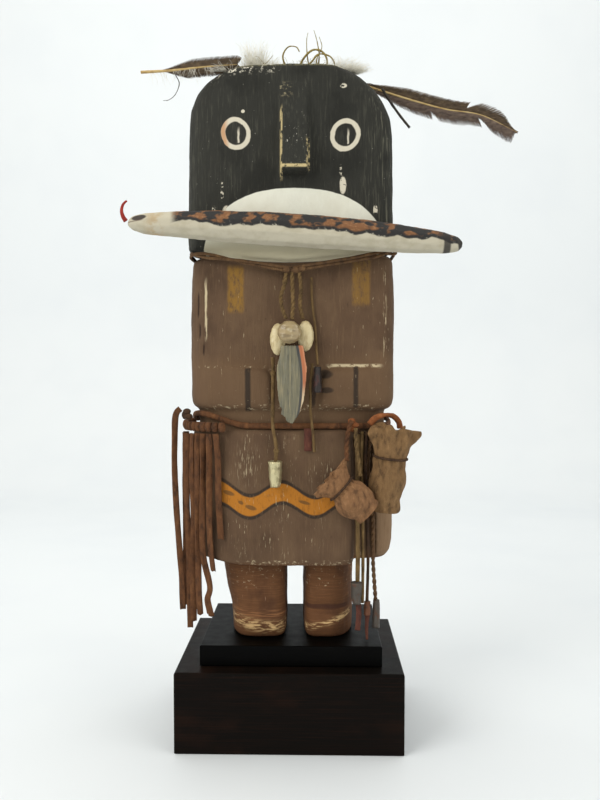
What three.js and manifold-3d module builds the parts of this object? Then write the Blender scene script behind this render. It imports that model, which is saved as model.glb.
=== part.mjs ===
// A carved kachina doll on a stepped wooden stand, in millimetres, +Z up. The doll faces -Y,
// its own right side is at -X, and the origin is the centre of the base block's underside.
import * as THREE from "three";
import { mergeVertices } from "three/addons/utils/BufferGeometryUtils.js";
import Module from "manifold-3d";

const wasm = await Module();
wasm.setup();

// ---------------------------------------------------------------- driving dimensions

const GAP = 0.3; // clearance between pieces that touch

const BASE = { width: 170, depth: 130, height: 61, edge: 1.2 };
const PLINTH = { width: 137, depth: 108, height: 15.7, x: 1, y: 2, edge: 0.8 };
const PLINTH_TOP = BASE.height + GAP + PLINTH.height;
const SOLE_Z = PLINTH_TOP + GAP;

// Half-widths are measured from X = 0, fronts and backs from Y = 0. The corner exponents run
// from 2, an ellipse, to 8, nearly square, in the order front left, front right, back.
const HEAD = {
  top: 511, sideBottom: 376, chinBottom: 366,
  left: 81.3, right: 79, leftTop: 79.2, rightTop: 77.2, front: 46, back: 45,
  leftArc: 33, rightArc: 49, edge: 1.6, corners: [3.2, 7, 3],
};
const NOSE = { left: -6, right: 14, top: 496, bottom: 431, tip: 12.5, underside: 3.5 };
const NECK = { left: 71, right: 71, front: 36, back: 37, corners: [3.4, 3.4, 3] };
const TORSO = {
  top: 370.2, bottom: 254, left: 79.6, right: 80, front: 46, back: 46,
  shoulder: 3, elbow: 6, corners: [3, 7, 3],
};
const CHEST = { left: -60.5, right: 70.5, depth: 5, slope: 3, corner: 9 };
const FOREARM = { top: 287, leftHand: -12, rightHand: 21 };
const WAIST = { left: 74, right: 74.5, front: 39.5, back: 41, corners: [3, 4, 3] };
const KILT = {
  top: 239, hem: 136, left: 79, right: 81, front: 47, back: 47, edge: 3,
  corners: [2.7, 9, 3], flapRight: 49, sideFront: 27, foldX: 64.5, foldDepth: 12,
};
const LEG = { front: 31, back: 34, top: 141, groove: 101 };
const LEFT_LEG = { x: -27, outerTop: 29, outerFoot: 20, inner: 23.4, corners: [2.3, 5, 3] };
const RIGHT_LEG = { x: 30, outerTop: 19.5, outerFoot: 19, inner: 18.2, corners: [6, 2.3, 3] };
const GAP_TAPER = 0.065; // how far the right leg's inner face leans in for each mm it goes back
const TOE = { ridgeZ: 87, ridge: 5.2, sole: 1.2, heel: 2.5 };

const SNAKE = { left: -117.5, right: 125.5, radius: 12.2, taper: 6, y: -58.6, z: 386, lean: 0.066 };

// ---------------------------------------------------------------- shared shape helpers

const group = new THREE.Group();
group.name = "kachina_doll";

function solid(geometry) {
  const bare = geometry.index ? geometry.toNonIndexed() : geometry.clone();
  bare.deleteAttribute("normal");
  bare.deleteAttribute("uv");
  const merged = mergeVertices(bare, 1e-3);
  merged.computeVertexNormals();
  return merged;
}

function toManifold(geometry) {
  const merged = solid(geometry);
  return new wasm.Manifold(new wasm.Mesh({
    numProp: 3,
    vertProperties: new Float32Array(merged.attributes.position.array),
    triVerts: new Uint32Array(merged.index.array),
  }));
}

function fromManifold(body) {
  const mesh = body.getMesh();
  const geometry = new THREE.BufferGeometry();
  geometry.setAttribute("position", new THREE.BufferAttribute(mesh.vertProperties, 3));
  geometry.setIndex(new THREE.BufferAttribute(mesh.triVerts, 1));
  return geometry;
}

function union(geometries) {
  return fromManifold(geometries.map(toManifold).reduce((a, b) => a.add(b)));
}

function addPiece(name, geometry, color, roughness, metalness = 0) {
  const material = new THREE.MeshStandardMaterial({ color, roughness, metalness, flatShading: true });
  const mesh = new THREE.Mesh(solid(geometry), material);
  mesh.name = name;
  group.add(mesh);
  return mesh;
}

// Moves every vertex of a geometry to place(x, y, z), which returns a Vector3 or an array.
function warp(geometry, place) {
  const position = geometry.attributes.position;
  for (let i = 0; i < position.count; i += 1) {
    const moved = place(position.getX(i), position.getY(i), position.getZ(i));
    position.setXYZ(i, ...(Array.isArray(moved) ? moved : moved.toArray()));
  }
  return geometry;
}

// A closed skin over a row of sections. place(x, y, i) puts the point (x, y) of the unit disc
// into section i; the sections follow each other along the piece, with +Z before the warp.
function loft(sides, rows, place) {
  const drum = new THREE.CylinderGeometry(1, 1, 1, sides, rows - 1).rotateX(Math.PI / 2);
  return warp(drum, (x, y, z) => place(x, y, Math.round((z + 0.5) * (rows - 1))));
}

function lerp(a, b, t) {
  return a + (b - a) * t;
}

// Rises gently from 0 at value = start to 1 at value = end; start may be above or below end.
function smooth(start, end, value) {
  const t = Math.min(Math.max((value - start) / (end - start), 0), 1);
  return t * t * (3 - 2 * t);
}

// The point of a rounded section at direction (x, y) of the unit circle. The section reaches
// left, right, front and back of its own centre and has an exponent for each front corner.
function sectionPoint(x, y, { left, right, front, back, corners }) {
  const length = Math.hypot(x, y);
  if (length < 1e-6) return [0, 0];
  const n = y > 0 ? corners[2] : corners[x < 0 ? 0 : 1];
  const tidy = (value) => (Math.abs(value) < 1e-9 ? 0 : Math.abs(value)); // so that the seam closes
  const [c, s] = [tidy(x / length), tidy(y / length)];
  const reachX = x < 0 ? -left : right;
  const reachY = y < 0 ? -front : back;
  return [length * reachX * c ** (2 / n), length * reachY * s ** (2 / n)];
}

// A carved block through stations of {z, inset, ...section}. inset draws the whole rim in.
function block(sides, stations, adjust = (point) => point) {
  return loft(sides, stations.length, (x, y, i) => {
    const station = stations[i];
    const inset = station.inset ?? 0;
    const [px, py] = sectionPoint(x, y, {
      left: station.left - inset, right: station.right - inset,
      front: station.front - inset, back: station.back - inset, corners: station.corners,
    });
    return adjust([px + (station.x ?? 0), py, station.z], i);
  });
}

// A prism from an outline in the X-Z plane, from Y = near back to Y = far, with sloping sides.
function frontalPrism(outline, near, far, slope = 0) {
  const shape = new THREE.Shape(outline.map(([x, z]) => new THREE.Vector2(x, z)));
  const depth = far - near - slope;
  const prism = new THREE.ExtrudeGeometry(shape, {
    depth, bevelEnabled: slope > 0, bevelThickness: slope, bevelSize: slope, bevelSegments: 1,
    curveSegments: 4,
  });
  return prism.rotateX(Math.PI / 2).translate(0, far - slope, 0);
}

// ---------------------------------------------------------------- stand

function slab({ width, depth, height, edge }, x, y, z) {
  const shape = new THREE.Shape();
  const [w, d] = [width / 2 - edge, depth / 2 - edge];
  shape.moveTo(-w, -d).lineTo(w, -d).lineTo(w, d).lineTo(-w, d).closePath();
  return new THREE.ExtrudeGeometry(shape, {
    depth: height - 2 * edge, bevelThickness: edge, bevelSize: edge, bevelSegments: 2,
  }).translate(x, y, z + edge);
}

addPiece("base_block", slab(BASE, 0, 0, 0), 0x2a1c17, 0.4);
addPiece("plinth", slab(PLINTH, PLINTH.x, PLINTH.y, BASE.height + GAP), 0x12100f, 0.35);

// ---------------------------------------------------------------- carved figure

// A tall rounded block with a flat top, its upper corners turned in arcs of unequal radius.
function headBlock() {
  const arcSteps = 6;
  const arcStart = HEAD.top - HEAD.rightArc;
  const heights = [HEAD.sideBottom, HEAD.sideBottom + 1.5, 395, 420, arcStart];
  for (let k = 1; k <= arcSteps; k += 1) {
    heights.push(arcStart + (HEAD.rightArc - HEAD.edge) * Math.sin((k / arcSteps) * Math.PI / 2));
  }
  heights.push(HEAD.top);
  const drawIn = (z, radius) => {
    const rise = Math.min(Math.max(z - (HEAD.top - radius), 0), radius * 0.999);
    return radius - Math.sqrt(radius * radius - rise * rise);
  };
  const stations = heights.map((z, i) => {
    const t = (z - HEAD.sideBottom) / (HEAD.top - HEAD.sideBottom);
    const last = heights.length - 1;
    return {
      z, corners: HEAD.corners, front: HEAD.front, back: HEAD.back,
      left: lerp(HEAD.left, HEAD.leftTop, t) - drawIn(Math.min(z, heights[last - 1]), HEAD.leftArc),
      right: lerp(HEAD.right, HEAD.rightTop, t) - drawIn(Math.min(z, heights[last - 1]), HEAD.rightArc),
      inset: i === 0 || i === last ? HEAD.edge : 0,
    };
  });
  return block(32, stations, ([x, y, z]) => {
    const low = 1 - smooth(HEAD.sideBottom, 415, z);
    const middle = Math.max(0, 1 - (x / 76) ** 2) * smooth(10, -34, y);
    return [x, y, z - low * middle * (HEAD.sideBottom - HEAD.chinBottom)];
  });
}

// A straight wedge that leaves the brow flush and stands furthest out at its cut underside.
function noseWedge() {
  const face = -HEAD.front + 3;
  const tip = -HEAD.front - NOSE.tip;
  const profile = new THREE.Shape([
    new THREE.Vector2(face, NOSE.top), new THREE.Vector2(face, NOSE.bottom - NOSE.underside),
    new THREE.Vector2(tip + 1, NOSE.bottom - 1), new THREE.Vector2(tip, NOSE.bottom + 1),
    new THREE.Vector2(-HEAD.front - 0.6, NOSE.top - 1),
  ]);
  const wedge = new THREE.ExtrudeGeometry(profile, {
    depth: NOSE.right - NOSE.left - 1.6, bevelThickness: 0.8, bevelSize: 0.8, bevelOffset: -0.8,
    bevelSegments: 1,
  });
  return warp(wedge, (x, y, z) => [z + NOSE.left + 0.8, x, y]);
}

function torsoBlock() {
  const { top, bottom, shoulder, elbow } = TORSO;
  const rows = [
    [bottom, elbow, 0], [bottom + 1.5, elbow * 0.45, 0], [bottom + 4, elbow * 0.15, 0],
    [bottom + 9, 0, 0.3], [320, 0, 0], [350, 0, 0.8],
    [top - shoulder, 0, 1.6], [top - 1.2, shoulder * 0.45, 1.6], [top, shoulder, 1.6],
  ];
  return block(32, rows.map(([z, inset, waistIn]) => ({
    z, inset, left: TORSO.left - waistIn, right: TORSO.right - waistIn,
    front: TORSO.front, back: TORSO.back, corners: TORSO.corners,
  })));
}

// The hollow between the upper arms and above the forearms, with the gap between the hands.
function chestHollow() {
  const { left, right, depth, slope, corner } = CHEST;
  const { top, leftHand, rightHand } = FOREARM;
  const above = TORSO.top + 20;
  const below = TORSO.bottom - 20;
  const rounded = (x, z, side, down) => {
    const points = [];
    for (let k = 0; k <= 3; k += 1) {
      const angle = (k / 3) * Math.PI / 2;
      const [a, b] = down ? [Math.cos(angle), Math.sin(angle)] : [Math.sin(angle), Math.cos(angle)];
      points.push([x + side * corner * (1 - a), z + corner * (1 - b)]);
    }
    return points;
  };
  const hand = 6;
  const outline = [
    [left, above],
    ...rounded(left, top, 1, true),
    [leftHand - hand, top], [leftHand, top - hand], [leftHand, below],
    [rightHand, below], [rightHand, top - 2 * hand], [rightHand + hand * 0.7, top - hand * 0.5],
    [rightHand + 2 * hand, top],
    ...rounded(right, top, -1, false),
    [right, above],
  ];
  return frontalPrism(outline, -TORSO.front - 20, -TORSO.front + depth, slope);
}

function waistBlock() {
  const rows = [KILT.top - 4, TORSO.bottom + 4];
  return block(20, rows.map((z) => ({ z, ...WAIST })));
}

function neckBlock() {
  const rows = [TORSO.top - 5, HEAD.sideBottom + 4];
  return block(20, rows.map((z) => ({ z, ...NECK })));
}

// The kilt hangs to a level hem that lifts a little towards the figure's right side.
function hemLift([x, y, z]) {
  const low = 1 - smooth(KILT.hem, KILT.hem + 30, z);
  return [x, y, z + low * 4.5 * smooth(-38, -75, x)];
}

function kiltFront() {
  const { top, hem, edge } = KILT;
  const rows = [
    [hem, 1.2], [hem + 1.5, 0], [160, 0], [200, 0], [top - edge, 1], [top - 1, 2.2], [top, 4.5],
  ];
  return block(32, rows.map(([z, inset]) => ({
    z, inset, left: KILT.left, right: KILT.flapRight, front: KILT.front, back: 20,
    corners: [KILT.corners[0], KILT.corners[1], 4],
  })), hemLift);
}

// The wrap behind the front flap: its edge at the figure's left shows as an upright fold.
function kiltBack() {
  const { top, hem, edge, foldX, foldDepth } = KILT;
  const rows = [
    [hem - 1.5, 9], [hem + 1, 5], [hem + 6, 1.8], [hem + 14, 0.3], [160, 0], [200, 0],
    [top - edge, 1.4], [top - 0.8, 3], [top, 5],
  ];
  const wrap = block(32, rows.map(([z, inset]) => ({
    z, inset, left: KILT.left - 0.5, right: KILT.right, front: KILT.sideFront, back: KILT.back,
    corners: [2.7, 4.5, 3],
  })), hemLift);
  const channel = frontalPrism(
    [[KILT.flapRight - 6, hem - 20], [foldX, hem - 20], [foldX - 1, top - 12],
      [foldX - 5, top + 10], [KILT.flapRight - 6, top + 10]],
    -KILT.front - 10, -KILT.sideFront + foldDepth, 2,
  );
  return fromManifold(toManifold(wrap).subtract(toManifold(channel)));
}

// One leg with its boot. The toe ridge stands proud of the shin and the sole is drawn under it.
function legBlock({ x, outerTop, outerFoot, inner, corners }, side, boot) {
  const heights = [SOLE_Z, 79, TOE.ridgeZ - 3, TOE.ridgeZ, 91, 95, 98.5, LEG.groove, 104, 112, LEG.top];
  const stations = heights.map((z) => {
    const t = smooth(86, 136, z);
    const outer = lerp(outerFoot, outerTop, t);
    return {
      z, x, corners, left: side < 0 ? outer : inner, right: side < 0 ? inner : outer,
      front: LEG.front, back: LEG.back + TOE.heel * (1 - smooth(84, 100, z)),
      inset: z === SOLE_Z ? TOE.sole : 0,
    };
  });
  return block(22, stations, ([px, py, z]) => {
    const frontness = smooth(4, -26, py);
    return [px, py - frontness * boot(px, z), z];
  });
}

function leftBoot(x, z) {
  const ridgeZ = TOE.ridgeZ + 0.006 * (x + 10) ** 2;
  const above = z > ridgeZ;
  const reach = above ? 1 - smooth(ridgeZ, 100, z) : 1 - 0.45 * (1 - smooth(SOLE_Z, ridgeZ, z));
  return TOE.ridge * reach;
}

function rightBoot(x, z) {
  const ridgeZ = TOE.ridgeZ - 1 + 0.3 * (x - RIGHT_LEG.x + 14);
  const cap = z > ridgeZ ? 1 - 0.55 * smooth(ridgeZ, 98, z) : 1 - 0.6 * (1 - smooth(SOLE_Z, ridgeZ, z));
  const instep = z > 97 ? 1 - smooth(97, LEG.groove, z) : 1;
  const groove = Math.max(0, 1 - Math.abs(z - LEG.groove) / 3.4);
  const corner = smooth(36, 50, x);
  return TOE.ridge * cap * instep * (1 - 0.7 * corner) - 2.6 * groove;
}

function rightLegBlock() {
  const leg = legBlock(RIGHT_LEG, 1, rightBoot);
  return warp(leg, (x, y, z) => {
    const inner = 1 - smooth(RIGHT_LEG.x - 14, RIGHT_LEG.x + 4, x);
    return [x - inner * GAP_TAPER * (y + LEG.front), y, z];
  });
}

function carvedFigure() {
  const torso = toManifold(torsoBlock()).subtract(toManifold(chestHollow()));
  const parts = [
    headBlock(), noseWedge(), neckBlock(), waistBlock(), kiltBack(), kiltFront(),
    legBlock(LEFT_LEG, -1, leftBoot), rightLegBlock(),
  ];
  return fromManifold(parts.map(toManifold).reduce((a, b) => a.add(b), torso));
}

addPiece("figure", carvedFigure(), 0x6e5648, 0.85);

// ---------------------------------------------------------------- thongs, rings and strips

function octagon(width, thickness) {
  const points = [];
  for (let k = 0; k < 8; k += 1) {
    const angle = ((k + 0.5) / 8) * 2 * Math.PI;
    points.push(new THREE.Vector2((width / 2) * Math.cos(angle), (thickness / 2) * Math.sin(angle)));
  }
  return new THREE.Shape(points);
}

function curveOf(route) {
  return new THREE.CatmullRomCurve3(route.map((point) => new THREE.Vector3(...point)));
}

function stepsAlong(curve, width) {
  return Math.max(3, Math.round(curve.getLength() / (3 * width)));
}

function thong(route, diameter) {
  const path = curveOf(route);
  const section = octagon(diameter, diameter);
  return new THREE.ExtrudeGeometry(section, { steps: stepsAlong(path, diameter), extrudePath: path });
}

// A flat strip of leather, whose thin way stays along Y while it follows its route.
function strip(route, width, thickness) {
  const curve = curveOf(route);
  const steps = 2 * route.length - 2;
  const thin = new THREE.Vector3(0, 1, 0);
  return warp(new THREE.BoxGeometry(width, thickness, 1, 1, 1, steps), (x, y, z) => {
    const t = Math.min(Math.max(z + 0.5, 0), 1);
    const across = thin.clone().cross(curve.getTangentAt(t)).normalize();
    return curve.getPointAt(t).addScaledVector(across, x).addScaledVector(thin, y);
  });
}

// A closed ring round the figure. height(x, y) gives its level at each place of the section.
function ring(section, thickness, height, sides, steps) {
  const torus = new THREE.TorusGeometry(1, 0.5, sides, steps);
  const outline = (angle) => sectionPoint(Math.cos(angle), Math.sin(angle), section);
  const nudge = 0.02;
  const pitch = (2 * Math.PI) / steps;
  return warp(torus, (x, y, z) => {
    const angle = Math.round(Math.atan2(y, x) / pitch) * pitch;
    const [px, py] = outline(angle);
    const [ax, ay] = outline(angle - nudge);
    const [bx, by] = outline(angle + nudge);
    const run = Math.hypot(bx - ax, by - ay);
    const out = (Math.hypot(x, y) - 1) * thickness;
    const level = height(px, py) + z * thickness;
    return [px + ((by - ay) / run) * out, py - ((bx - ax) / run) * out, level];
  });
}

// An egg-like body: a sphere whose radii are scaled by change(a, b, c) in each direction.
function pebble([x, y, z], [rx, ry, rz], change = () => 1, sides = 10, rows = 7) {
  return warp(new THREE.SphereGeometry(1, sides, rows), (a, b, c) => {
    const k = change(a, b, c);
    return [x + a * rx * k, y - c * ry * k, z + b * rz * k];
  });
}

// A rolled tin cone, open at its lower end, or at its upper end where openTop is true.
function tinCone([x, y, topZ], bottomZ, topRadius, bottomRadius, openTop = false) {
  const height = topZ - bottomZ;
  const wall = 0.5;
  const hollow = 0.3 * height;
  const profile = openTop
    ? [[0, -height], [bottomRadius, -height], [topRadius, 0], [topRadius - wall, 0],
      [topRadius - wall - 0.4, -hollow], [0, -hollow]]
    : [[0, hollow - height], [bottomRadius - wall, hollow - height], [bottomRadius - wall, -height],
      [bottomRadius, -height], [topRadius, 0], [0, 0]];
  const points = profile.map(([r, h]) => new THREE.Vector2(r, h));
  return new THREE.LatheGeometry(points, 8).rotateX(Math.PI / 2).translate(x, y, topZ);
}

// ---------------------------------------------------------------- snake held in the mouth

function snakeBody() {
  const { left, right, radius, taper, y, z, lean } = SNAKE;
  const rows = 15;
  const middle = (left + right) / 2;
  const half = (right - left) / 2;
  const bow = 0.00018;
  const endShare = 0.07;
  return loft(10, rows, (a, b, i) => {
    const u = -Math.cos((i / (rows - 1)) * Math.PI);
    const nearEnd = Math.max(0, (Math.abs(u) - 1 + endShare) / endShare);
    const r = (radius - taper * Math.abs(u) ** 2.6) * Math.sqrt(1 - 0.9 * nearEnd * nearEnd);
    const x = middle + u * half;
    return [x, y + a * r * 0.97, z - lean * x - bow * x * x + b * r];
  });
}

addPiece("snake", snakeBody(), 0xcfc8bb, 0.8);
addPiece("snake_tongue", strip([
  [-119.1, SNAKE.y, 392.8], [-121.3, SNAKE.y, 396.4], [-122.2, SNAKE.y, 400.6],
  [-121.1, SNAKE.y, 404.8], [-118.3, SNAKE.y, 407.6],
], 3.4, 1.2), 0x8c2a24, 0.7);

// ---------------------------------------------------------------- feathers and crown tuft

// A flat feather along its shaft. front and rear are the vane's widths each side of the shaft
// at share t of its length; tilt turns the vane about the shaft, front edge up.
function feather(shaft, front, rear, tilt, shaftRadius) {
  const curve = curveOf(shaft);
  const rows = 11;
  const up = new THREE.Vector3(0, -Math.cos(tilt), Math.sin(tilt));
  return loft(6, rows, (a, b, i) => {
    const t = i / (rows - 1);
    const along = curve.getTangentAt(t);
    const across = up.clone().addScaledVector(along, -up.dot(along)).normalize();
    const face = along.clone().cross(across);
    const thick = shaftRadius * (1 - 0.6 * t) * (Math.abs(b) > 0.9 ? 0.35 : 1);
    const width = b > 0 ? front(t) : rear(t);
    return curve.getPointAt(t).addScaledVector(across, b * width).addScaledVector(face, -a * thick);
  });
}

const swell = (t, full, start, end) => full * smooth(0, start, t) * smooth(1, end, t);

addPiece("feather_left", feather(
  [[-112.3, -36, 508.4], [-90, -36, 509.6], [-66, -35.5, 512.2], [-40, -35, 514.2]],
  (t) => 1.4 + swell(t, 5.5, 0.5, 0.8), (t) => 1.4 + swell(t, 7, 0.25, 0.4), 0.95, 1.5,
), 0x6b5a3c, 0.85);
addPiece("feather_right", feather(
  [[47, 0, 514.4], [72, -3, 505], [98, -5, 496.2], [123, -5, 489.6], [150, -5, 485], [178, -5, 471.5]],
  (t) => 1.2 + swell(t, 8, 0.35, 0.72), (t) => 1.2 + swell(t, 8, 0.4, 0.86), 1.05, 1.3,
), 0x5d4c3b, 0.85);
addPiece("feather_quill_stub", thong(
  [[70.5, -20, 500.5], [77.5, -17, 491], [85, -15, 481.5], [92.6, -14, 472.6]], 2,
), 0x6a5a45, 0.8);

// One bent quill, tuft or plant fibre, thick at its root and nearly pointed.
function spike(route, rootRadius, tipRadius = 0.25) {
  const curve = curveOf(route);
  const rows = 4;
  const side = new THREE.Vector3(0.3, 1, 0).normalize();
  return loft(5, rows, (a, b, i) => {
    const t = i / (rows - 1);
    const along = curve.getTangentAt(t);
    const first = side.clone().cross(along).normalize();
    const second = along.clone().cross(first);
    const r = lerp(rootRadius, tipRadius, t);
    return curve.getPointAt(t).addScaledVector(first, a * r).addScaledVector(second, b * r);
  });
}

// A loose mound on the flat of the head, {x, y, rx, ry, rise}, with its tufts standing up.
function crownMound({ x, y, rx, ry, rise }, tufts) {
  const floor = HEAD.top + GAP;
  const mound = loft(10, 3, (a, b, i) => {
    const level = i / 2;
    const spread = Math.sqrt(1 - 0.85 * level * level) * (1 + 0.12 * Math.sin(3 * a + 4 * b));
    return [x + a * rx * spread, y + b * ry * spread, floor + level * rise];
  });
  return union([mound, ...tufts.map(([route, radius]) => spike(route, radius))]);
}

addPiece("crown_down_left", crownMound({ x: -24, y: -22, rx: 11, ry: 9, rise: 9 }, [
  [[[-28, -24, 514], [-30, -26, 524], [-28.5, -27, 537]], 3.2],
  [[[-24, -24, 514], [-24.5, -26, 525], [-21.5, -27, 536]], 3.6],
  [[[-20, -24, 514], [-17, -26, 521], [-12.5, -27, 528]], 2.6],
]), 0xdedcd4, 0.95);
addPiece("crown_fibres", crownMound({ x: 12.5, y: -22, rx: 17, ry: 8, rise: 8 }, [
  [[[3.5, -24, 515], [-1.5, -26, 523], [2, -28, 529], [8, -28, 529.5]], 1.4],
  [[[6, -24, 515], [15, -28, 527], [27, -28, 526], [30, -26, 519]], 2],
  [[[12, -24, 515], [13, -26, 527], [14.3, -28, 539]], 1.3],
  [[[21, -24, 515], [22, -26, 527], [19.2, -28, 542]], 1.5],
]), 0x7d6f45, 0.9);
addPiece("crown_down_right", crownMound({ x: 38, y: -22, rx: 6.5, ry: 8, rise: 7 }, [
  [[[38, -24, 514], [43, -26, 520], [51, -27, 525]], 2.6],
  [[[39, -24, 513], [46, -26, 516.5], [56, -27, 519.5]], 2.2],
]), 0xd8d6cc, 0.95);

// ---------------------------------------------------------------- neck cord and its pendants

const NECK_CORD = { left: 77.8, right: 79.4, front: 48.4, back: 41.5, corners: [4.7, 14, 3] };

function neckCordLevel(x, y) {
  const lowest = 4;
  const span = x < lowest ? 82 : 76;
  const dip = Math.max(0, 1 - Math.abs(x - lowest) / span) * smooth(0, -34, y);
  return HEAD.sideBottom - 3.4 - 14.5 * dip;
}

addPiece("neck_cord", ring(NECK_CORD, 4, neckCordLevel, 6, 28), 0x6b4e36, 0.85);

const hollowed = (depth) => (a, b, c) => 1 - depth * smooth(0.4, 1, c) * smooth(0.9, 0, Math.abs(a));

addPiece("shell_middle", pebble([0.2, -58.2, 311.8], [9, 6.2, 8.6]), 0xa79f86, 0.45);
addPiece("shell_left", pebble([-8.6, -48.6, 307], [6.1, 4.2, 12.2]), 0xd9cfae, 0.5);
addPiece("shell_right", pebble([12, -49.6, 309.5], [6.3, 4.6, 11.6], hollowed(0.15)), 0xd6cbb0, 0.5);

// A leaf of shell: pointed below, its right edge fuller than its left, a little cupped.
function abaloneLeaf() {
  const [top, bottom, x, y] = [302.2, 245.5, 2.4, -55.4];
  const rows = 8;
  return loft(8, rows, (a, b, i) => {
    const t = i / (rows - 1);
    const width = 11.6 * Math.sqrt(Math.max(0.03, 1 - (1 - t) ** 3.2)) * (1 - 0.3 * smooth(0.7, 1, t));
    const cup = 1.6 * (a * a);
    return [x + a * width * 1.02 - 1.2 * (1 - t), y - cup + b * 1.7, lerp(bottom, top, t)];
  });
}

addPiece("abalone_pendant", abaloneLeaf(), 0x6f7768, 0.35);

addPiece("kilt_cone", tinCone([-10.4, -52.4, 216.4], 197.2, 5.4, 3.9, true), 0xb9ad84, 0.35, 0.9);
addPiece("dark_tinkler", tinCone([21, -50.4, 286.6], 267.5, 2.4, 3.4), 0x2b2320, 0.5, 0.4);
addPiece("leather_tag", strip([[13.6, -48.6, 240.6], [13.8, -48.7, 232], [13.8, -48.6, 223.5]], 5.6, 0.9),
  0x5e332b, 0.85);

// ---------------------------------------------------------------- belt, its knots and fringe

const BELT = { left: 77, right: 77.4, front: 42.4, back: 44, corners: [3, 4, 3] };

function beltLevel(x, y) {
  const front = smooth(10, -30, y);
  return 245 + front * (-3 + 9 * smooth(-30, -72, x));
}

addPiece("belt", ring(BELT, 4.4, beltLevel, 6, 32), 0x6a3a24, 0.8);
addPiece("belt_knot_left", pebble([-79.6, -31, 250.4], [3.6, 4, 4.4],
  (a, b, c) => 1 + 0.14 * Math.sin(6 * b + 3 * a), 8, 6), 0x4f2c1e, 0.85);
addPiece("belt_twist", pebble([47.6, -46.9, 243.2], [4, 2.6, 5.2],
  (a, b, c) => 1 + 0.1 * Math.sin(7 * b + 4 * a), 8, 6), 0x7a4c2c, 0.85);
addPiece("belt_loop_right", thong([
  [60, -44.6, 243.5], [64.5, -44, 248.2], [71.3, -42.4, 250.4], [78, -39.5, 249.4],
  [82.6, -36.5, 245], [84, -34, 240.2],
], 4), 0x8a4a28, 0.8);

// The gathered tops of the fringe: a soft roll that follows the kilt's rounded corner.
function fringeRoll() {
  const section = { left: 84, right: 84, front: 51.6, back: 51, corners: [2.7, 3, 3] };
  const rows = 10;
  const [start, end] = [Math.PI * 1.33, Math.PI * 0.93];
  return loft(8, rows, (a, b, i) => {
    const angle = lerp(start, end, i / (rows - 1));
    const [px, py] = sectionPoint(Math.cos(angle), Math.sin(angle), section);
    const [qx, qy] = sectionPoint(Math.cos(angle + 0.02), Math.sin(angle + 0.02), section);
    const run = Math.hypot(qx - px, qy - py);
    const fat = 3 * (1 + 0.08 * (i % 2)) * (i === 0 || i === rows - 1 ? 0.6 : 1);
    const out = a * fat;
    return [px + ((qy - py) / run) * out, py - ((qx - px) / run) * out, 241.4 + b * fat * 1.5];
  });
}

addPiece("fringe_roll", fringeRoll(), 0x5f3524, 0.9);

const FRINGE = { width: 4.6, thickness: 1.5 };
const FRINGE_ROUTES = {
  fringe_strip_1: [[-55.8, -45.5, 236.2], [-54.2, -44.2, 216.2], [-54, -44, 193.4], [-53.3, -44, 174.4],
    [-52.3, -43.5, 155.6]],
  fringe_strip_2: [[-61, -43.2, 236], [-61.1, -42, 208.3], [-61.3, -41.5, 177.6], [-60.7, -41, 150.6],
    [-58.6, -40, 130.4]],
  fringe_strip_3: [[-65.9, -41, 236], [-66.5, -39, 204], [-67.1, -38.5, 165.5], [-66.5, -38, 141.4],
    [-61.7, -37, 117.9], [-63.7, -36, 107], [-60.7, -36, 94.5]],
  fringe_strip_4: [[-70.6, -37.5, 236], [-71.3, -35.5, 207.4], [-71.1, -35, 168.7],
    [-70.9, -34.5, 137.4], [-70.7, -34, 113.9], [-69.6, -34, 95.1]],
  fringe_strip_5: [[-75.1, -34, 235.6], [-76.2, -32, 206.8], [-74.9, -31.5, 171.7],
    [-75.7, -31, 136.6], [-75.6, -30, 112.7], [-75.3, -30, 89.8]],
  fringe_strip_6: [[-80.2, -28, 235.2], [-81.3, -26, 206.2], [-80.8, -25.5, 174.6], [-79.8, -25, 143],
    [-79.2, -25, 111.3], [-78.9, -25, 81.8]],
  fringe_strip_7: [[-82.5, -20, 235], [-83.2, -19, 196.8], [-83, -19, 156.7], [-83.4, -19, 124.8],
    [-83.9, -19, 97.4]],
  fringe_strip_8: [[-84.2, -12, 235], [-84, -12, 200], [-84.3, -12, 160], [-83.6, -12, 128],
    [-84.4, -12, 106]],
  fringe_strip_9: [[-84.6, -5, 235], [-84.4, -5, 200], [-84.8, -5, 160], [-84, -5, 130],
    [-84.8, -5, 112]],
  fringe_strip_loop: [[-84.6, -32.6, 254.4], [-87.4, -32, 251.6], [-88.9, -31, 245.5],
    [-89.5, -30, 229.8], [-90.1, -28, 210.2], [-89.3, -26, 179.5], [-87.5, -25.5, 151.1],
    [-85.6, -25, 123.4], [-84.6, -25, 96.5]],
};
for (const [name, route] of Object.entries(FRINGE_ROUTES)) {
  addPiece(name, strip(route, FRINGE.width, FRINGE.thickness), 0x6b3f28, 0.85);
}

// ---------------------------------------------------------------- pouches

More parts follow.
